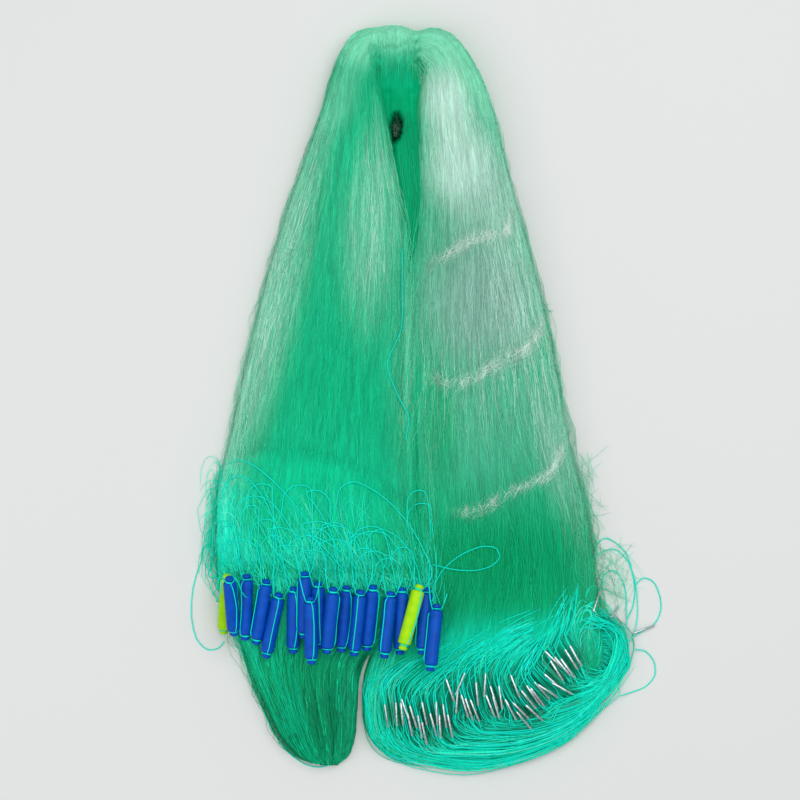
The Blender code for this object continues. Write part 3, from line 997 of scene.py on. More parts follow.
# free stretches of both lines, the same routes as their solids, in millimetres
freeRoutes = {
    "float_line_left": [
        (-176, -139, 6.0), (-185, -130, 3.0), (-194, -126, 1.2), (-201.2, -129, 1.0),
        (-204, -142, 1.0), (-210, -160, 1.0), (-213, -180, 1.0), (-212, -200, 1.0),
        (-207, -215, 1.0), (-197, -223, 1.0), (-188, -221, 1.5), (-183, -215, 5.0),
    ],
    "float_line_right": [
        (5.5, -144, 32.0), (25, -148, 37.8), (48, -148, 37.4), (60, -143, 39.8),
        (65, -136, 41.4), (62, -129, 41.6), (53, -127, 39.8), (38, -131, 40.2),
        (22, -141, 37.2), (12, -152, 33.0), (8, -160, 31.2),
    ],
    "float_line_middle": [
        (-22, 139, 29.3), (-22, 103, 31.2), (-23, 67, 31.4), (-35, 35, 40.8),
        (-26, 8, 34.4), (-16, -13, 34.4), (-19, -32, 33.8),
    ],
    "float_line_foot": [
        (-170, -212, 1.0), (-166, -228, 1.0), (-160, -248, 1.0), (-153, -266, 1.0),
        (-147, -280, 1.0), (-136, -302, 1.0), (-121, -319.5, 1.0), (-104, -328.5, 1.0),
        (-94, -329, 1.0), (-86, -326.4, 1.0),
    ],
    "lead_line_top": [
        (152, -134, 1.0), (155, -127, 1.0), (161, -122, 1.0), (172, -126, 1.0),
        (180, -134, 1.0), (187, -154, 1.0), (189, -172, 1.0), (187, -184, 2.4),
        (182, -194, 6.2),
    ],
    "lead_line_side": [
        (190.2, -163.5, 1.0), (196, -158, 1.0), (204, -160, 1.0), (211, -172, 1.0),
        (212.4, -187, 1.0), (207, -199, 1.0), (198, -205, 1.6), (192, -208, 4.0),
        (187, -210, 6.3),
    ],
    "lead_line_low": [
        (188.5, -222, 5.2), (198, -224, 1.5), (206, -233, 1.0), (207, -246, 1.0),
        (199, -256, 1.0), (187, -261, 1.6), (180, -263, 4.6), (175, -264, 7.6),
    ],
}
for node, route in freeRoutes.items():
    words = node.split("_")
    name = words[0] + words[1].title() + words[2].title()
    piece, length = cordCurve(name, np.array(route) * mm)
    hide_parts(node)
print("cords are laid")

# ---- floats and leads: each modelled once, then copied to its solid's place


def placed(source, name, middle, way):
    # a copy with its own mesh, its Y axis turned to the given way
    bpy.ops.object.select_all(action="DESELECT")
    copy = source.copy()
    copy.data = source.data.copy()
    copy.name = copy.data.name = name
    scene.collection.objects.link(copy)
    y = Vector(way)
    x = y.cross(Vector((0, 0, 1))).normalized()
    z = x.cross(y)
    for vertex in copy.data.vertices:
        at = vertex.co
        vertex.co = Vector(middle) + x * at.x + y * at.y + z * at.z
    return copy


def editAll(*actions):
    # runs the actions on the whole active mesh, by its faces
    bpy.ops.object.mode_set(mode="EDIT")
    bpy.ops.mesh.select_mode(type="FACE")
    bpy.ops.mesh.select_all(action="SELECT")
    for action in actions:
        action()
    bpy.ops.object.mode_set(mode="OBJECT")


def alongY(vertices, radius, depth):
    # a cylinder that lies along the Y axis
    bpy.ops.mesh.primitive_cylinder_add(
        vertices=vertices, radius=radius, depth=depth, location=(0, 0, 0)
    )
    turn = {"value": math.pi / 2, "orient_axis": "X", "center_override": (0, 0, 0)}
    editAll(lambda: bpy.ops.transform.rotate(**turn))
    return bpy.context.object


def modelFloat():
    # radius and place (mm) of each ring, from one end to the middle and on to the other end
    rings = [
        (2.5, 29.9), (3.4, 29.5), (4.0, 28.5), (4.0, 27.6), (3.3, 26.8), (3.0, 26.2),
        (3.0, 25.2), (3.4, 24.7), (5.2, 24.3), (5.8, 23.5), (6.0, 22.0), (6.0, 0.0),
    ]
    rings += [(radius, -along) for radius, along in rings[-2::-1]]
    piece = alongY(20, 2.5 * mm, 0.2 * mm)
    editAll(lambda: bpy.ops.transform.translate(value=(0, rings[0][1] * mm, 0)))
    mesh = piece.data
    lowest = min(mesh.polygons, key=lambda face: face.center.y)
    for face in mesh.polygons:
        face.select = face.index == lowest.index
    for edge in mesh.edges:
        edge.select = False
    for vertex in mesh.vertices:
        vertex.select = vertex.index in lowest.vertices
    bpy.ops.object.mode_set(mode="EDIT")
    for (before, high), (radius, along) in zip(rings, rings[1:]):
        bpy.ops.mesh.extrude_region_move(
            TRANSFORM_OT_translate={"value": (0, (along - high) * mm, 0)}
        )
        grow = radius / before
        bpy.ops.transform.resize(value=(grow, 1, grow), center_override=(0, along * mm, 0))
    bpy.ops.object.mode_set(mode="OBJECT")
    editAll(bpy.ops.mesh.normals_make_consistent)
    bpy.ops.object.shade_smooth_by_angle(angle=math.radians(50))
    for face in mesh.polygons:
        face.material_index = int(abs(face.center.y) > floatSize["knob"] * mm)
    return piece


def modelLead():
    # a strip of lead rolled round the line: a tube with slightly squeezed ends
    piece = alongY(12, leadSize["radius"], leadSize["length"])
    bevel = piece.modifiers.new("Bevel", "BEVEL")
    bevel.width = leadSize["squeeze"]
    bevel.segments = 2
    bevel.limit_method = "ANGLE"
    bpy.ops.object.modifier_apply(modifier="Bevel")
    bpy.ops.object.shade_smooth_by_angle(angle=math.radians(40))
    return piece


floatModel = modelFloat()
for node in floatNodes:
    colour = node.split("_")[2]
    piece = placed(floatModel, "float" + node[6:8] + colour.title(), *floatAxes[node])
    piece.data.materials.clear()
    piece.data.materials.append(looks[colour])
    piece.data.materials.append(looks[colour + "Knob"])
    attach(piece, "root")
    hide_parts(node)
bpy.data.objects.remove(floatModel)
leadModel = modelLead()
for number, (middle, way, node) in enumerate(places, start=1):
    piece = placed(leadModel, f"lead{number:02d}", middle, way)
    piece.data.materials.append(looks["lead"])
    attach(piece, "root")
    if node:
        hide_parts(node)
bpy.data.objects.remove(leadModel)
print("floats and leads are placed")

# ---- the netting's skin: one thin gathered sheet, with the panel between its legs


def paintTint(mesh, colours):
    layer = mesh.color_attributes.new("tint", "FLOAT_COLOR", "POINT")
    layer.data.foreach_set("color", np.column_stack([colours, np.ones(len(colours))]).ravel())


skinSize = {
    "rowStep": 5 * mm,
    "columns": 42,
    "edge": 9 * mm,
    "sink": 1.2 * mm,
    "thick": 0.5 * mm,
    "tuck": 14 * mm,
    "creaseRise": 1.2 * mm,
    "creaseWide": 4.0 * mm,
    "underHeap": 1.5 * mm,
    "inset": 4.5 * mm,
    "foot": 0.4 * mm,
    "wall": 0.8 * mm,
    "outerWall": (3 * mm, 6 * mm),
    "innerWall": (5.5 * mm, 2.5 * mm),
    # ridges: height (mm), how close they lie, and their sway: size, how close, shift
    "waves": [(0.8, 23, 1.5, 9, 0), (0.5, 51, 2.1, 14, 2), (0.3, 113, 3, 19, 1)],
    "fadeFrom": 275 * mm,
    "fadeOver": 30 * mm,
}


def reliefAt(x, y, z):
    # lengthwise troughs and ridges that wander, and fade at the edges and towards the top fold
    w = acrossAt(x, y) + 0.02 * np.sin(y * 23) + 0.012 * np.sin(y * 61 + 1)
    w = w + np.where(x < legParting, 0, 0.4)
    waves = sum(
        high * np.sin(w * close + sway * np.sin(y * often + shift))
        for high, close, sway, often, shift in skinSize["waves"]
    )
    inside = ramp(z, skinSize["edge"], 8 * mm)
    return waves * mm * inside * np.clip((skinSize["fadeFrom"] - y) / skinSize["fadeOver"], 0, 1)


def topTroughs(x, y):
    # the two dents beside the middle lobe of the top fold, and the notch in its edge
    dents = [(-44, 304, 3, 16, 0, 2.2), (-10, 305, 4, 14, 0, 2.6), (-9, 332, 3.5, 11, 0, 2.2)]
    return sum(deep * mm * ovalShare(x, y, oval) for *oval, deep in dents)


lobe = {
    "left": -46 * mm,
    "right": -7 * mm,
    "low": 279 * mm,
    "high": 324 * mm,
    "fade": 5 * mm,
    "beside": 6 * mm,
    "groove": 7 * mm,
    "slope": [(266, 19), (276, 20), (286, 23), (296, 28), (306, 33.5), (316, 38.5), (326, 41.5)],
}


def lobeShare(x, y, beside=0.0):
    # 1 on the middle lobe, where the netting slopes up from the panel to the crown
    fade = lobe["fade"]
    wide = np.clip(np.minimum(x - lobe["left"], lobe["right"] - x) / fade + beside / fade, 0, 1)
    long = np.clip(np.minimum(y - lobe["low"], lobe["high"] - y) / fade, 0, 1)
    return wide * long


def offFold(s):
    # 0 at the top fold, 1 further down both legs
    return np.clip(np.abs(s - ribKnots[topRib]) / (50 * mm) - 1.2, 0, 1)


def netHeight(x, y):
    # the netting's top surface: its solid, with folds, creases and dents
    share = lobeShare(x, y)
    slope = np.interp(y, *(np.array(lobe["slope"], float).T * mm))
    z = heightAt(netTop, x, y) * (1 - share) + slope * share
    z = np.maximum(z, (slope - lobe["groove"]) * lobeShare(x, y, lobe["beside"]))
    crease = bell(creaseDistance(x, y) / skinSize["creaseWide"])
    fade = ramp(z, 0, 8 * mm)
    heap = np.maximum(heightAt(heapRise, x, y) - skinSize["underHeap"], 0)
    ridges = skinSize["creaseRise"] * crease - topTroughs(x, y) + heap
    return z + reliefAt(x, y, z) + ridges * fade


def netUnder(flat):
    return netHeight(flat[..., 0], flat[..., 1])


def column(place, height):
    return np.column_stack([place, np.full(len(place), height)])


def unit(ways):
    return ways / np.linalg.norm(ways, axis=-1, keepdims=True)


def skinGrid():
    # rows along the bundle; across each: tuck, wall, top surface, wall, tuck
    rows = np.linspace(0, netDepth, round(netDepth / skinSize["rowStep"]) + 1)
    count = skinSize["columns"]
    across = (1 - np.cos(np.linspace(0, math.pi, count))) / 2
    across = 0.75 * across + 0.25 * np.linspace(0, 1, count)
    s, v = np.meshgrid(rows, across, indexing="ij")
    wide = np.linalg.norm(netPlace(rows, 1.0 + 0 * rows) - netPlace(rows, 0 * rows), axis=1)
    inset = (skinSize["inset"] * offFold(rows) / wide)[:, None]
    flat = netPlace(s, inset + v * (1 - inset))
    z = np.maximum(netUnder(flat) - skinSize["sink"], 1.0 * mm)
    outer, inner = flat[:, 0], flat[:, -1]
    inward, outward = unit(flat[:, 1] - outer), unit(flat[:, -2] - inner)
    wall, tuck, foot = (skinSize[part] for part in ("wall", "tuck", "foot"))
    points = [column(outer + inward * tuck, foot)]
    points += [column(outer + inward * wall, height) for height in (foot, *skinSize["outerWall"])]
    points += [column(flat[:, k], z[:, k]) for k in range(count)]
    points += [column(inner + outward * wall, height) for height in (*skinSize["innerWall"], foot)]
    points.append(column(inner + outward * tuck, foot))
    grid = np.stack(points, axis=1)
    z0 = grid[:, 4, 2]
    grid[:, 3, 2] = np.minimum(grid[:, 3, 2], z0 * 0.8)
    grid[:, 2, 2] = np.minimum(grid[:, 2, 2], z0 * 0.4 + 0.3 * mm)
    first, last = grid[:1].copy(), grid[-1:].copy()
    for end in (first, last):
        end[..., 1] -= 1.2 * mm
        end[..., 2] = foot
    grid = np.concatenate([first, grid, last])
    shares = np.concatenate([[-0.06, -0.045, -0.03, -0.015], across, [1.015, 1.03, 1.045, 1.06]])
    along = np.concatenate([[rows[0] - 0.01], rows, [rows[-1] + 0.01]])
    return grid, np.stack(np.meshgrid(shares, along), axis=-1)


panelSize = {
    # place along the panel, its two edges and its height (mm)
    "rows": [
        (-214, -50, -28, 15), (-190, -42, -8, 22), (-150, -36, -2, 25), (-100, -34, -2, 27),
        (0, -34, -1, 29), (100, -34, 0, 27), (190, -36, 4, 23.5), (250, -44, 0, 20.5),
        (275, -46, 1, 19.5), (290, -48, 2, 30), (326, -48, 0, 45),
    ],
    "spans": [(-214, 224, 100), (226, 272, 32), (274, 320, 26)],
    "columns": 24,
    "hole": (-27, 250),
    "rim": [
        (-32.5, 254), (-31, 260), (-26, 261.5), (-21, 257.5), (-20.5, 252), (-22.5, 246),
        (-24.5, 240), (-27, 234.5), (-31, 233), (-32.5, 241), (-33, 248),
    ],
    "shaft": 0.45,
    # painted shade, dark places round the hole: middle, half width and half length, lean, strength
    "marks": [
        (-30, 230, 3, 9, 0, 0.8),
        (-27, 250, 8, 14, 0, 0.6),
        (-18, 250, 5, 1.6, 0, 0.5),
        (-12, 253, 4, 1.6, 0, 0.4),
    ],
}


panelTable = np.array(panelSize["rows"], float) * mm


def panelGrid():
    along = np.concatenate([np.linspace(*span) for span in panelSize["spans"]]) * mm
    low, high, crown = smoothAlong(panelTable[:, 0], panelTable[:, 1:], along).T
    share = np.linspace(0, 1, panelSize["columns"])
    x = low[:, None] + (high - low)[:, None] * share
    y = np.repeat(along[:, None], len(share), axis=1)
    dip = 1.2 * mm * np.cos(2 * math.pi * share) + 0.7 * mm * np.sin(15 * share + y / mm / 23)
    z = np.minimum(netHeight(x, y), crown[:, None] + 1 * mm) - 0.9 * mm + 0.5 * dip
    z -= ramp(y, 308 * mm, 12 * mm) * 1.6 * mm
    uv = np.stack([x * 8 + 0.3, y], axis=2)
    return np.stack([x, y, z], axis=2), uv


def gridFaces(rows, columns, start):
    i, j = np.meshgrid(np.arange(rows - 1), np.arange(columns - 1), indexing="ij")
    a = start + i * columns + j
    return np.stack([a, a + 1, a + columns + 1, a + columns], axis=2).reshape(-1, 4)


def lobeTint(y):
    # up the middle lobe of the top fold: deep, then strong, then the crown's pale green; the deep
    # green is partly painted shade where the lobe curves down between the legs, and the crown's pale
    # green partly a painted sheen
    steps = np.array([274, 298, 312, 330]) * mm
    greens = np.array([shades[name] for name in ("deep", "strong", "vivid", "crown")])
    return np.stack([np.interp(y, steps, greens[:, k]) for k in range(3)], axis=-1)


def panelTint(x, y):
    colour = lobeTint(y)
    # painted shade round the hole
    for *oval, strength in panelSize["marks"]:
        share = strength * ovalShare(x, y, oval)[..., None]
        colour = blended(colour, shades["dark"], share)
    return colour


def rimDistance(x, y):
    # how far the hole's middle is, as a share of the way from there to its rim
    holeX, holeY = panelSize["hole"]
    rim = np.array(panelSize["rim"], float) - (holeX, holeY)
    turns = np.arctan2(rim[:, 1], rim[:, 0])
    order = np.argsort(turns)
    at = np.arctan2(y / mm - holeY, x / mm - holeX)
    reach = np.interp(at, turns[order], np.linalg.norm(rim, axis=1)[order], period=math.tau)
    return np.hypot(y / mm - holeY, x / mm - holeX) / reach


def ringHole(points, kept, gone):
    # rounds the rim of the panel's hole, and gives it a wall that closes in towards the floor
    centre = np.array(panelSize["hole"]) * mm
    rim = np.intersect1d(kept, gone)
    away = points[rim, :2] - centre
    away /= rimDistance(points[rim, 0], points[rim, 1])[:, None]
    points[rim, :2] = centre + away
    foot = centre + away * panelSize["shaft"]
    foot = np.column_stack([foot, np.full(len(rim), 0.5 * mm)])
    below = {corner: len(points) + k for k, corner in enumerate(rim)}
    inside = {(face[k], face[(k + 1) % 4]) for face in gone.tolist() for k in range(4)}
    walls = []
    for face in kept.tolist():
        for k in range(4):
            a, b = face[k], face[(k + 1) % 4]
            if (b, a) in inside:
                walls.append((b, a, below[a], below[b]))
    return np.concatenate([points, foot]), np.array(walls)


def buildSkin():
    main, mainUv = skinGrid()
    panel, panelUv = panelGrid()
    faces = gridFaces(*main.shape[:2], 0)
    panelFaces = gridFaces(*panel.shape[:2], main.shape[0] * main.shape[1])
    points = np.concatenate([main.reshape(-1, 3), panel.reshape(-1, 3)])
    uv = np.concatenate([mainUv.reshape(-1, 2), panelUv.reshape(-1, 2)])
    middle = points[panelFaces].mean(axis=1)
    away = rimDistance(middle[:, 0], middle[:, 1])
    onPanel = np.arange(len(points)) >= main.shape[0] * main.shape[1]
    points, walls = ringHole(points, panelFaces[away > 1], panelFaces[away <= 1])
    footCount = len(points) - len(uv)
    uv = np.concatenate([uv, np.zeros((footCount, 2))])
    faces = np.concatenate([faces[:, ::-1], panelFaces[away > 1], walls])
    mesh = bpy.data.meshes.new("netting")
    mesh.from_pydata(points.tolist(), [], faces.tolist())
    layer = mesh.uv_layers.new(name="flow")
    corner = np.empty(len(mesh.loops), int)
    mesh.loops.foreach_get("vertex_index", corner)
    layer.data.foreach_set("uv", uv[corner].ravel())
    isPanel = np.concatenate([onPanel, np.full(footCount, True)])[:, None]
    x, y = points[:, 0], points[:, 1]
    colours = np.where(isPanel, panelTint(x, y), tintAt(x, y))
    # painted shade: the hole's wall turns nearly black towards its foot
    colours[len(onPanel) :] *= 0.12
    white = 0.2 * bell(creaseDistance(x, y) / (5 * mm))[:, None] * ~isPanel
    paintTint(mesh, blended(colours, shades["white"], white))
    mesh.materials.append(looks["skin"])
    piece = linked("nettingSkin", mesh)
    bpy.ops.object.select_all(action="DESELECT")
    bpy.context.view_layer.objects.active = piece
    piece.select_set(True)
    editAll(bpy.ops.mesh.delete_loose)
    shell = piece.modifiers.new("Solidify", "SOLIDIFY")
    shell.thickness = skinSize["thick"]
    shell.offset = -1
    bpy.ops.object.modifier_apply(modifier="Solidify")
    bpy.ops.object.shade_smooth()
    for vertex in piece.data.vertices:
        vertex.co.z = max(vertex.co.z, 0.1 * mm)
    piece.select_set(False)
    area = sum(face.area for face in piece.data.polygons) / 2
    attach(piece, "root")
    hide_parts("netting")
    print(f"netting skin: {len(piece.data.polygons)} faces, {area:.3f} square metres, one side")
    return piece, area


skin, skinArea = buildSkin()

# ---- the filaments: closed three-sided strands laid over the skin from arrays


def tubes(points, radius, colours):
    # points and colours: strands x steps x 3, radius: one a strand; a flat side lies uppermost
    count, steps = points.shape[:2]
    way = np.gradient(points, axis=1)
    way /= np.linalg.norm(way, axis=2, keepdims=True) + 1e-12
    side = np.cross(way, np.array([0, 0, 1.0]))
    side /= np.linalg.norm(side, axis=2, keepdims=True) + 1e-9
    lift = np.cross(side, way)
    taper = np.ones(steps)
    taper[[0, -1]] = 0.35
    size = radius[:, None, None] * taper[None, :, None]
    corners = [math.radians(angle) for angle in (30, 150, 270)]
    rings = [points + size * (math.cos(a) * side + math.sin(a) * lift) for a in corners]
    verts = np.stack(rings, axis=2)
    index = np.arange(count * steps * 3).reshape(count, steps, 3)
    a, b = index[:, :-1], index[:, 1:]
    quads = [
        np.stack([a[..., k], b[..., k], b[..., (k + 1) % 3], a[..., (k + 1) % 3]], axis=-1)
        for k in range(3)
    ]
    quads = np.concatenate([q.reshape(-1, 4) for q in quads])
    caps = np.concatenate([index[:, 0], index[:, -1, ::-1]])
    return verts.reshape(-1, 3), quads, caps, np.repeat(colours.reshape(-1, 3), 3, axis=0)


def strandPiece(name, batches):
    verts, quads, caps, tints, offset = [], [], [], [], 0
    for batch in batches:
        v, q, c, t = tubes(*batch)
        verts.append(v)
        quads.append(q + offset)
        caps.append(c + offset)
        tints.append(t)
        offset += len(v)
    quads, caps = np.concatenate(quads), np.concatenate(caps)
    mesh = bpy.data.meshes.new(name)
    mesh.from_pydata(np.concatenate(verts).tolist(), [], quads.tolist() + caps.tolist())
    paintTint(mesh, np.concatenate(tints))
    mesh.materials.append(looks["strand"])
    piece = linked(name, mesh)
    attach(piece, "root")
    print(f"{name}: {2 * len(quads) + len(caps)} triangles")
    return piece


fibre = {
    "radius": (0.14, 0.27),
    "length": (0.05, 0.15),
    "share": 1.0,
    "low": 0.6 * mm,
}


def howMany(count):
    return int(count * fibre["share"])


def each(low, high, count, *more):
    # a draw for each strand
    return dice.uniform(low, high, (count, 1, *more))


def wave(at, length, count, size):
    # a slow sideways wander, different for each strand
    total = np.zeros_like(at)
    for share in (1.0, 0.45, 0.2):
        phase = dice.uniform(0, math.tau, (count, 1))
        span = length * share * dice.uniform(0.7, 1.4, (count, 1))
        total += size * share * np.sin(math.tau * at / span + phase)
    return total


# where the netting shows whitish strands: middle, half sizes (mm), lean, strength
glints = [
    (-146, 90, 28, 170, 15, 0.36),
    (-46, 165, 22, 85, 4, 0.28),
    (-22, 30, 10, 90, 0, 0.08),
    (60, 200, 60, 120, -14, 0.27),
    (100, 40, 22, 150, -14, 0.32),
    (2, 60, 9, 170, 0, 0.08),
    (60, 40, 60, 70, -10, 0.20),
    (-200, -100, 30, 60, 0, 0.12),
]


def glintAt(x, y):
    return 0.005 + sum(strength * ovalShare(x, y, oval, 1.5) for *oval, strength in glints)


def varied(colours, light, white):
    # strand to strand: darker or brighter, and some with a whitish shine
    count = len(colours)
    made = colours * np.exp(dice.normal(0, light, (count, 1, 1)))
    share = np.clip(dice.exponential(1.0, (count, 1)) * white, 0, 0.8)[..., None]
    return np.clip(blended(made, shades["white"], share), 0, 1)


def netColours(flat, light=0.14, white=1.0):
    x, y = flat[..., 0], flat[..., 1]
    return varied(tintAt(x, y), light, white * glintAt(x, y))


def thickness(count, low=fibre["radius"][0], high=fibre["radius"][1]):
    # each strand's radius, from one to another in millimetres
    return dice.uniform(low * mm, high * mm, count)


def raised(flat, z):
    return np.concatenate([flat, z[..., None]], axis=2)


def laid(flat, lift):
    # strands that lie on the gathered net, lift above its skin
    return raised(flat, np.maximum(netUnder(flat) + lift, fibre["low"]))


def stretchOf(count, sRange, length, steps):
    # each strand's places along the bundle, and the shares of its length that they stand for
    along = np.linspace(-0.5, 0.5, steps)
    span = each(*length, count)
    start = each(*sRange, count)
    return start + span * along, span, along


def legStrands(count, sRange, vRange=(0, 1), radius=fibre["radius"], light=0.10, lift=0.0):
    count = howMany(count)
    s, span, along = stretchOf(count, sRange, fibre["length"], 9)
    s = np.clip(s, 0.002, netDepth - 0.002)
    v = each(*vRange, count) + wave(s, 0.12, count, 0.010)
    v = v + dice.normal(0, 0.10, (count, 1)) * span * along / 0.14
    flat = netPlace(s, np.clip(v, 0.002, 0.998))
    flat = flat + wave(s, 0.022, count, 0.4 * mm)[..., None] * np.array([1.0, 0.25])
    high = each(-0.9, 0.2, count) + 0.3 * wave(s, 0.05, count, 1.0)
    clear = lobeShare(flat[..., 0], np.minimum(flat[..., 1], 315 * mm)).max(axis=1) < 0.9
    flat, high = flat[clear], high[clear]
    return laid(flat, (high + lift) * mm), thickness(len(flat), *radius), netColours(flat, light)


def lobeTwine(count):
    # bright strands of the tied edge that run down the left side of the left lobe
    points, radius, colours = legStrands(count, (0.02, 0.13), vRange=(0.0, 0.42), lift=1.0)
    bright = each(0.1, 0.8, len(points), 1)
    return points, radius * 1.5, blended(colours, shades["sea"], bright)


def wallStrands(count, sRange, side=0):
    # strands along the bundle's steep sides: the outer one is side 0, the inner one side 1
    count = howMany(count)
    s = np.clip(stretchOf(count, sRange, fibre["length"], 9)[0], 0.004, netDepth - 0.004)
    ends = [netPlace(s, np.full(s.shape, float(k))) for k in (side, 1 - side)]
    inward = unit(ends[1] - ends[0])
    edge = ends[0] + inward * (skinSize["inset"] * offFold(s) * (1 - side))[..., None]
    top = np.maximum(netUnder(edge) - 1 * mm, 2 * mm)
    share = np.clip(each(0.04, 1.0, count) + wave(s, 0.1, count, 0.05), 0.02, 1)
    flat = edge + inward * (0.3 * mm - each(0, 0.5, count, 1) * mm)
    points = raised(flat, np.maximum(top * share, fibre["low"]))
    return points, thickness(count), netColours(flat, 0.12, 1.2)


overEnd = {"along": (0.70, 0.075), "drift": 0.014, "from": (0.05, 0.22), "brow": 0.3}


def endStrands(count):
    # strands that come over the edge of the top fold and run down its end
    count = howMany(count)
    t = np.linspace(0, 1, 8)
    s = dice.normal(*overEnd["along"], (count, 1))
    s = s + dice.normal(0, overEnd["drift"], (count, 1)) * t
    s = s + wave(t * np.ones((count, 1)), 0.8, count, 0.0008)
    flat = netPlace(s, np.clip(each(*overEnd["from"], count) * (1 - t / 0.35), 0, 1))
    z = netUnder(flat)
    down = 1 - ramp(t, overEnd["brow"], 1 - overEnd["brow"]) ** 1.4
    z = np.where(t < 0.32, z + 0.2 * mm, z[:, 2:3] * down)
    points = raised(flat, np.maximum(z, fibre["low"]))
    return points, thickness(count), netColours(flat, 0.10, 0.6)


def edgeWisps(count, sRange, vOut=-0.05, edge=0.0, high=7, tone=None):
    # loose strands that bow out of an edge and come back to it
    count = howMany(count)
    s, _, along = stretchOf(count, sRange, (0.03, 0.10), 10)
    s = np.clip(s, 0.002, netDepth - 0.002)
    bow = np.cos(math.pi * along) ** 2 * vOut * each(0.1, 1.0, count) ** 1.6
    into = each(-0.3, 1.1, count) * abs(vOut) * (1 if vOut < 0 else -1)
    v = edge + into + bow + wave(s, 0.04, count, 0.006)
    flat = netPlace(s, v) + wave(s, 0.012, count, 0.5 * mm)[..., None] * np.array([1.0, 0.4])
    rest = each(0.8, high, count) * mm
    points = raised(flat, np.maximum(netUnder(flat) + 0.3 * mm, rest))
    if tone is None:
        return points, thickness(count, 0.12, 0.20), netColours(flat, 0.2, 1.3)
    colours = varied(toned(tone, s.shape), 0.2, 0.02)
    return points, thickness(count, 0.2, 0.32), colours


fuzz = {
    "tufts": 26,
    "loose": 0.45,
    "across": 4.4 * mm,
    "lean": (36, 20),
    "oneWay": 0.72,
    "length": (7, 20),
    "near": 6 * mm,
    "fade": 14 * mm,
}


def creaseFuzz(count, line):
    # short strands that stand across a crease, most of them leaning one way, in uneven tufts
    count = howMany(count)
    line = np.array(line, float) * mm
    knots = np.concatenate([[0], np.cumsum(np.linalg.norm(np.diff(line, axis=0), axis=1))])
    tufts = dice.uniform(0, knots[-1], fuzz["tufts"])
    at = tufts[dice.integers(0, len(tufts), count)] + dice.normal(0, 2.6 * mm, count)
    at = np.where(dice.random(count) < fuzz["loose"], dice.uniform(0, knots[-1], count), at)
    spot = np.column_stack([np.interp(at, knots, line[:, k]) for k in (0, 1)])
    spot[:, 1] += dice.normal(0, fuzz["across"], count) + 1.5 * mm * np.sin(at * 260)
    lean = dice.normal(*fuzz["lean"], count) * np.where(dice.random(count) < fuzz["oneWay"], 1, -1)
    lean = np.radians(lean)
    long = each(*fuzz["length"], count) * mm
    t = np.linspace(-0.5, 0.5, 6)
    bow = dice.normal(0, 0.12, (count, 1)) * (1 - 4 * t**2)
    sine, cosine = np.sin(lean)[:, None], np.cos(lean)[:, None]
    x = spot[:, :1] + sine * (long * t) + cosine * bow * long
    y = spot[:, 1:] + cosine * (long * t) - sine * bow * long
    flat = np.stack([x, y], axis=2)
    lift = each(0.2, 1.5, count) * (1 - 3 * t**2) * mm
    near = bell(creaseDistance(x, y) / fuzz["near"])[..., None]
    ends = np.clip(np.minimum(at, knots[-1] - at) / fuzz["fade"], 0.25, 1)[:, None, None]
    share = near * ends * each(0.05, 1.0, count, 1) ** 0.8
    colours = blended(netColours(flat, 0.1, 1.0), shades["spark"], share)
    return laid(flat, lift), thickness(count, 0.12, 0.20), colours


# the outline of the top fold, from left to right
foldOutline = np.array([
    (-84, 300), (-73, 322), (-63, 333), (-45, 339), (-34, 341), (-24, 341), (-15, 340),
    (-9, 336), (-2, 339), (6, 339), (22, 333), (36, 318), (47, 300),
]).T * mm


overLobe = {"across": (-52, -5), "from": (286, 328), "lift": (-0.5, 0.4), "overEdge": 0.5}


def foldStrands(count):
    # over the middle lobe of the top fold: up from the panel, over the edge and down behind
    count = howMany(count)
    edgeX, edgeY = foldOutline
    t = np.linspace(0, 1, 12)
    x0 = each(*overLobe["across"], count) * mm
    x1 = x0 * 0.94 - 1.5 * mm + dice.normal(0, 1.5, (count, 1)) * mm
    x = x0 + (x1 - x0) * t + wave(t * np.ones((count, 1)), 0.7, count, 0.4 * mm)
    low = each(*overLobe["from"], count) * mm
    top = np.interp(x[:, -1:], edgeX, edgeY) + 0.6 * mm
    isLong = dice.random((count, 1)) < overLobe["overEdge"]
    top = np.where(isLong, top, np.minimum(top, low + 40 * mm))
    y = np.minimum(low + (top - low) * (t + 0.10 * np.sin(math.pi * t)), top)
    points = laid(np.stack([x, y], axis=2), each(*overLobe["lift"], count) * mm)
    base = lobeTint(y + each(-2, 7, count) * mm)
    # painted shade in the dents beside the middle lobe
    dentShade = np.clip(topTroughs(x, y) / (4 * mm), 0, 0.7)[..., None]
    base = blended(base, shades["rich"], dentShade)
    return points, thickness(count), varied(base, 0.05, 0.02)


def panelStrands(count):
    count = howMany(count)
    y = np.clip(stretchOf(count, (-0.19, 0.23), (0.05, 0.14), 10)[0], -0.205, 0.262)
    low, high, crown = (np.interp(y, panelTable[:, 0], panelTable[:, k]) for k in (1, 2, 3))
    share = each(0.03, 0.97, count) + wave(y, 0.1, count, 0.03)
    x = low + (high - low) * share
    clear = rimDistance(x, y).min(axis=1) > 1.1
    x, y, crown = x[clear], y[clear], crown[clear]
    z = np.minimum(netHeight(x, y), crown + 1 * mm) + each(-0.6, 0.4, len(x)) * mm
    colours = varied(panelTint(x, y), 0.10, 0.015)
    return raised(np.stack([x, y], axis=2), z), thickness(len(x)), colours


def holeStrands(count):
    # strands of the underside that cross low down inside the panel's hole, coloured nearly black as
    # painted shade
    count = howMany(count)
    turn = dice.uniform(0, math.tau, count)
    middle = np.array(panelSize["hole"]) + dice.normal(0, (2.5, 5.5), (count, 2))
    reach = np.column_stack([np.cos(turn), np.sin(turn)]) * 10
    flat = bent((middle - reach) * mm, (middle + reach) * mm, dice.normal(0, 0.1, count), 6)
    z = each(0.7, 9, count) * mm * np.ones(6)
    return raised(flat, z), thickness(count), varied(toned("dark", z.shape) * 0.5, 0.3, 0.02)


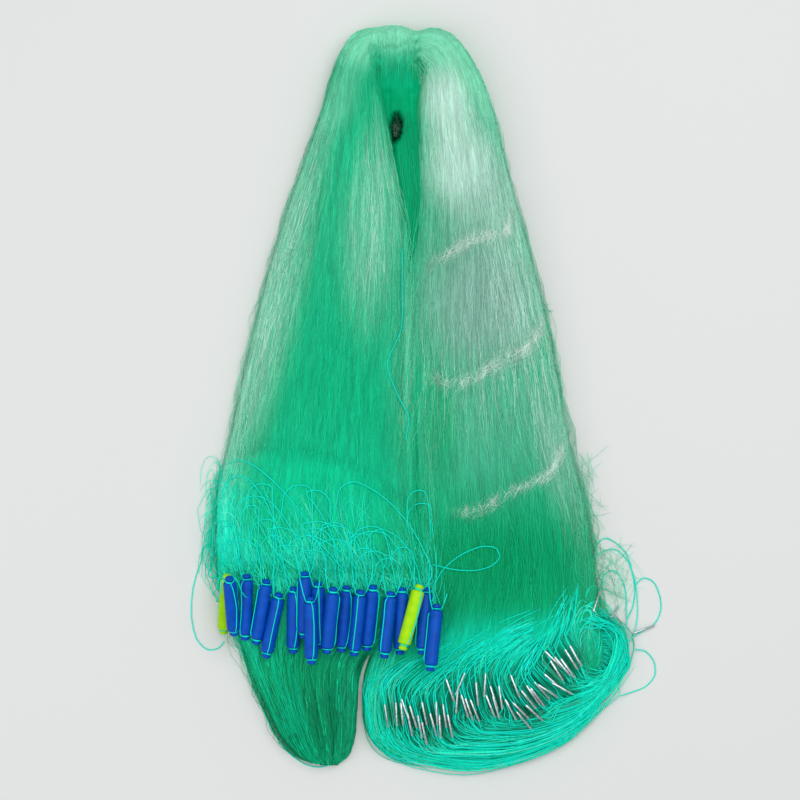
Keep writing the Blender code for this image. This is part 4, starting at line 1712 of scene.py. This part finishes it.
def bent(start, finish, bow, steps):
    # a curve from start to finish, bowed sideways by a share of its length
    t = np.linspace(0, 1, steps)[None, :, None]
    run = (finish - start)[:, None]
    across = np.stack([run[..., 1], -run[..., 0]], axis=2)
    return start[:, None] + run * t + across * bow[:, None, None] * 4 * t * (1 - t)


heapStrand = {
    "start": (22, 33),
    "share": 0.6,
    "low": (12, 50),
    "high": (40, 110),
    "lean": (0.30, 0.30),
    "right": (4, 22),
    "above": 9 * mm,
    "fall": 0.9,
}


def heapTwine(count):
    # the netting's tied edge: strands that fan up from the floats, most of them to the left
    count = howMany(count)
    picks = dice.integers(0, len(floatNodes), count)
    middles, ways = (np.array([floatAxes[node][k] for node in floatNodes]) for k in (0, 1))
    start = middles[picks] + ways[picks] * each(*heapStrand["start"], count) * mm
    base = netHeight(start[:, :1], start[:, 1:2])
    onTop = np.minimum(start[:, 2:], base + heapStrand["above"]) + each(-4, 3, count) * mm
    start = start[:, :2] + dice.normal(0, (4 * mm, 1 * mm), (count, 2))
    isLow = dice.random(count) < heapStrand["share"]
    low, high = (dice.uniform(*heapStrand[kind], count) * mm for kind in ("low", "high"))
    rise = np.where(isLow, low, high)
    room = np.clip((start[:, 0] + 206 * mm) / (70 * mm), 0.05, 1)
    lean = -rise * dice.normal(*heapStrand["lean"], count) * room
    finish = start + np.column_stack([lean, rise])
    flat = bent(start, finish, dice.normal(-0.06, 0.14, count), 13)
    leftEdge, rightEdge = each(*heapSize["left"], count) * mm, each(*heapStrand["right"], count) * mm
    x, y = heldInHeap(flat[..., 0], leftEdge, rightEdge), flat[..., 1]
    t = np.linspace(0, 1, 13)
    lift = each(-0.2, 1.5, count) * mm - 1.8 * mm * t**3
    flat = np.stack([x, y], axis=2)
    away = np.linalg.norm(flat - start[:, None], axis=2)
    z = np.maximum(netHeight(x, y) + lift, np.maximum(onTop - heapStrand["fall"] * away, fibre["low"]))
    short = (rise < 50 * mm)[:, None, None]
    bright = each(0.3, 1.0, count, 1) * (1 - 0.6 * t[None, :, None])
    bright = np.where(short, 0.55 + 0.45 * bright, bright)
    colours = blended(tintAt(x, y), shades["twine"], bright)
    return raised(flat, z), thickness(count, 0.26, 0.42), varied(colours, 0.08, 0.02)


def spotsIn(box, count):
    # a place for each strand in a box of two x and two y values (mm)
    return np.column_stack([dice.uniform(*box[:2], count), dice.uniform(*box[2:], count)])


def curls(count, box, size, colour, radius=(0.16, 0.30), high=8):
    # loose open loops that lie beside the bundle
    count = howMany(count)
    middle = spotsIn(box, count)
    r = each(*size, count)
    begin = each(-60, 60, count)
    turn = np.radians(begin + each(120, 230, count) * np.linspace(0, 1, 14))
    x = middle[:, :1] + r * -np.cos(turn) * each(0.5, 1.1, count)
    y = middle[:, 1:] + r * np.sin(turn) * each(1.0, 2.2, count)
    flat = np.stack([x, y], axis=2) * mm
    z = np.maximum(netUnder(flat) + 0.4 * mm, each(0.8, high, count) * mm)
    return raised(flat, z), thickness(count, *radius), varied(toned(colour, x.shape), 0.2, 0.06)


def looseNet(count, box, lean, long, colour):
    # thin netting drawn out beside the bundle, its strands crossing
    count = howMany(count)
    middle = spotsIn(box, count)
    turn = np.radians(lean + dice.normal(0, 24, count))
    reach = np.column_stack([np.sin(turn), np.cos(turn)]) * each(*long, count) / 2
    flat = bent((middle - reach) * mm, (middle + reach) * mm, dice.normal(0, 0.09, count), 8)
    z = np.maximum(netUnder(flat) - 0.5 * mm, each(0.7, 5, count) * mm)
    colours = toned(colour, z.shape)
    return raised(flat, z), thickness(count, 0.11, 0.19), varied(colours, 0.25, 0.06)


def leadBed(count):
    # the netting's tied edge among the turns of the lead line, laid the way that they are
    made = []
    for _ in range(howMany(count)):
        x = dice.uniform(turnSize["left"] - 12 * mm, turnSize["right"] + 3 * mm)
        rows = np.array(twineTurn(x))
        first = dice.integers(2, len(rows) - 9)
        made.append(smoothAlong(np.arange(9), rows[first : first + 9], np.linspace(0, 8, 13)))
    points = np.array(made)
    points[..., 2] = np.maximum(points[..., 2] - 0.7 * mm, fibre["low"])
    # painted shade: darker close to the leads, where the turns lie open
    leads = np.array([middle[:2] for middle, *_ in places])
    away = np.linalg.norm(points[..., None, :2] - leads, axis=-1).min(axis=-1)
    near = 0.9 * bell(away / (14 * mm))[..., None]
    colours = varied(blended(shades["turquoise"], shades["dark"], near), 0.28, 0.03)
    return points, thickness(len(points), 0.28, 0.44), colours


# the way round the lobe's left side (mm), and how far inward each place of it may lie
sweep = [
    (18, -168, 1), (-14, -186, 0.9), (-38, -214, 0.8), (-50, -248, 0.7),
    (-53, -280, 0.6), (-46, -306, 0.6), (-28, -321, 0.7), (0, -329, 0.8),
]


def sweptLeft(count):
    # strands of the netting's tied edge that run clear of the leads, round the lobe's left side
    count = howMany(count)
    knots = np.array(sweep, float)
    inward = each(-7, 26, count) * knots[:, 2]
    x = knots[:, 0] + inward + evened(dice.normal(0, 2, (8, count)), 1).T
    y = knots[:, 1] + inward * 0.35 + evened(dice.normal(0, 2, (8, count)), 1).T
    flat = mm * np.array([
        smoothAlong(np.arange(8), np.column_stack([a, b]), np.linspace(low, low + 4.8, 14))
        for a, b, low in zip(x, y, dice.uniform(0, 2.2, count))
    ])
    sink = np.clip(1 - np.linspace(0, 1, 14) / 0.3, 0, 1) * 3.5 * mm
    points = laid(flat, each(0.2, 1.4, count) * mm - sink)
    base = blended(tintAt(flat[..., 0], flat[..., 1]), shades["turquoise"], 0.6)
    return points, thickness(count, 0.24, 0.40), varied(base, 0.15, 0.03)


legSpans = {
    "netLeftLow": (0.0, 0.26),
    "netLeftMiddle": (0.24, 0.44),
    "netLeftHigh": (0.42, 0.60),
    "netFold": (0.58, 0.82),
    "netRightHigh": (0.80, 0.97),
    "netRightMiddle": (0.95, 1.14),
    "netRightLow": (1.12, netDepth),
}
strandBatches = {
    name: [legStrands(1150, reach, (0.06 if name == "netFold" else 0, 1))]
    for name, reach in legSpans.items()
}
strandBatches |= {
    "netEdges": [
        edgeWisps(410, (0.10, 0.60)),
        edgeWisps(120, (0.56, 0.66), vOut=-0.05),
        edgeWisps(460, (0.78, 1.32)),
        edgeWisps(150, (0.0, 0.14), vOut=-0.12),
        edgeWisps(140, (0.12, 0.25), vOut=-0.09, high=4, tone="turquoise"),
        edgeWisps(110, (0.34, 0.52), vOut=0.05, edge=1.0),
        edgeWisps(110, (0.92, 1.08), vOut=0.05, edge=1.0),
        legStrands(230, (0.0, 0.58), vRange=(0.0, 0.07)),
        legStrands(230, (0.82, netDepth), vRange=(0.0, 0.07)),
        legStrands(100, (0.0, 0.50), vRange=(0.95, 1.0)),
        legStrands(100, (0.90, netDepth), vRange=(0.95, 1.0)),
    ],
    "netWalls": [
        wallStrands(360, (0.0, 0.60)),
        wallStrands(360, (0.80, netDepth)),
        endStrands(620),
        wallStrands(130, (0.02, 0.30), side=1),
        wallStrands(130, (1.10, 1.40), side=1),
        legStrands(420, (0.0, 0.13), radius=(0.26, 0.46), light=0.38),
        lobeTwine(110),
        legStrands(230, (1.15, 1.265), lift=1.7),
    ],
    "netCreases": [creaseFuzz(360, line) for line in creases],
    "netCrown": [foldStrands(420), panelStrands(300), holeStrands(60)],
    "netHeap": [
        heapTwine(680),
        curls(50, (-196, -182, -150, -62), (5, 12), "turquoise", (0.16, 0.26), 5),
        curls(24, (-196, -180, -160, -110), (8, 18), "turquoise", (0.2, 0.32), 5),
    ],
    "netLeadBed": [
        leadBed(560),
        sweptLeft(70),
        curls(26, (138, 160, -228, -196), (9, 20), "turquoise", (0.34, 0.48), 2),
    ],
    "netLoose": [
        looseNet(70, (140, 180, -178, -126), -38, (24, 52), "mint"),
        looseNet(30, (150, 184, -176, -132), 30, (18, 40), "mint"),
        looseNet(120, (140, 168, -240, -198), 25, (16, 36), "green"),
        looseNet(60, (138, 150, -130, -50), -14, (24, 48), "mint"),
    ],
}
strands = [strandPiece(name, batches) for name, batches in strandBatches.items()]
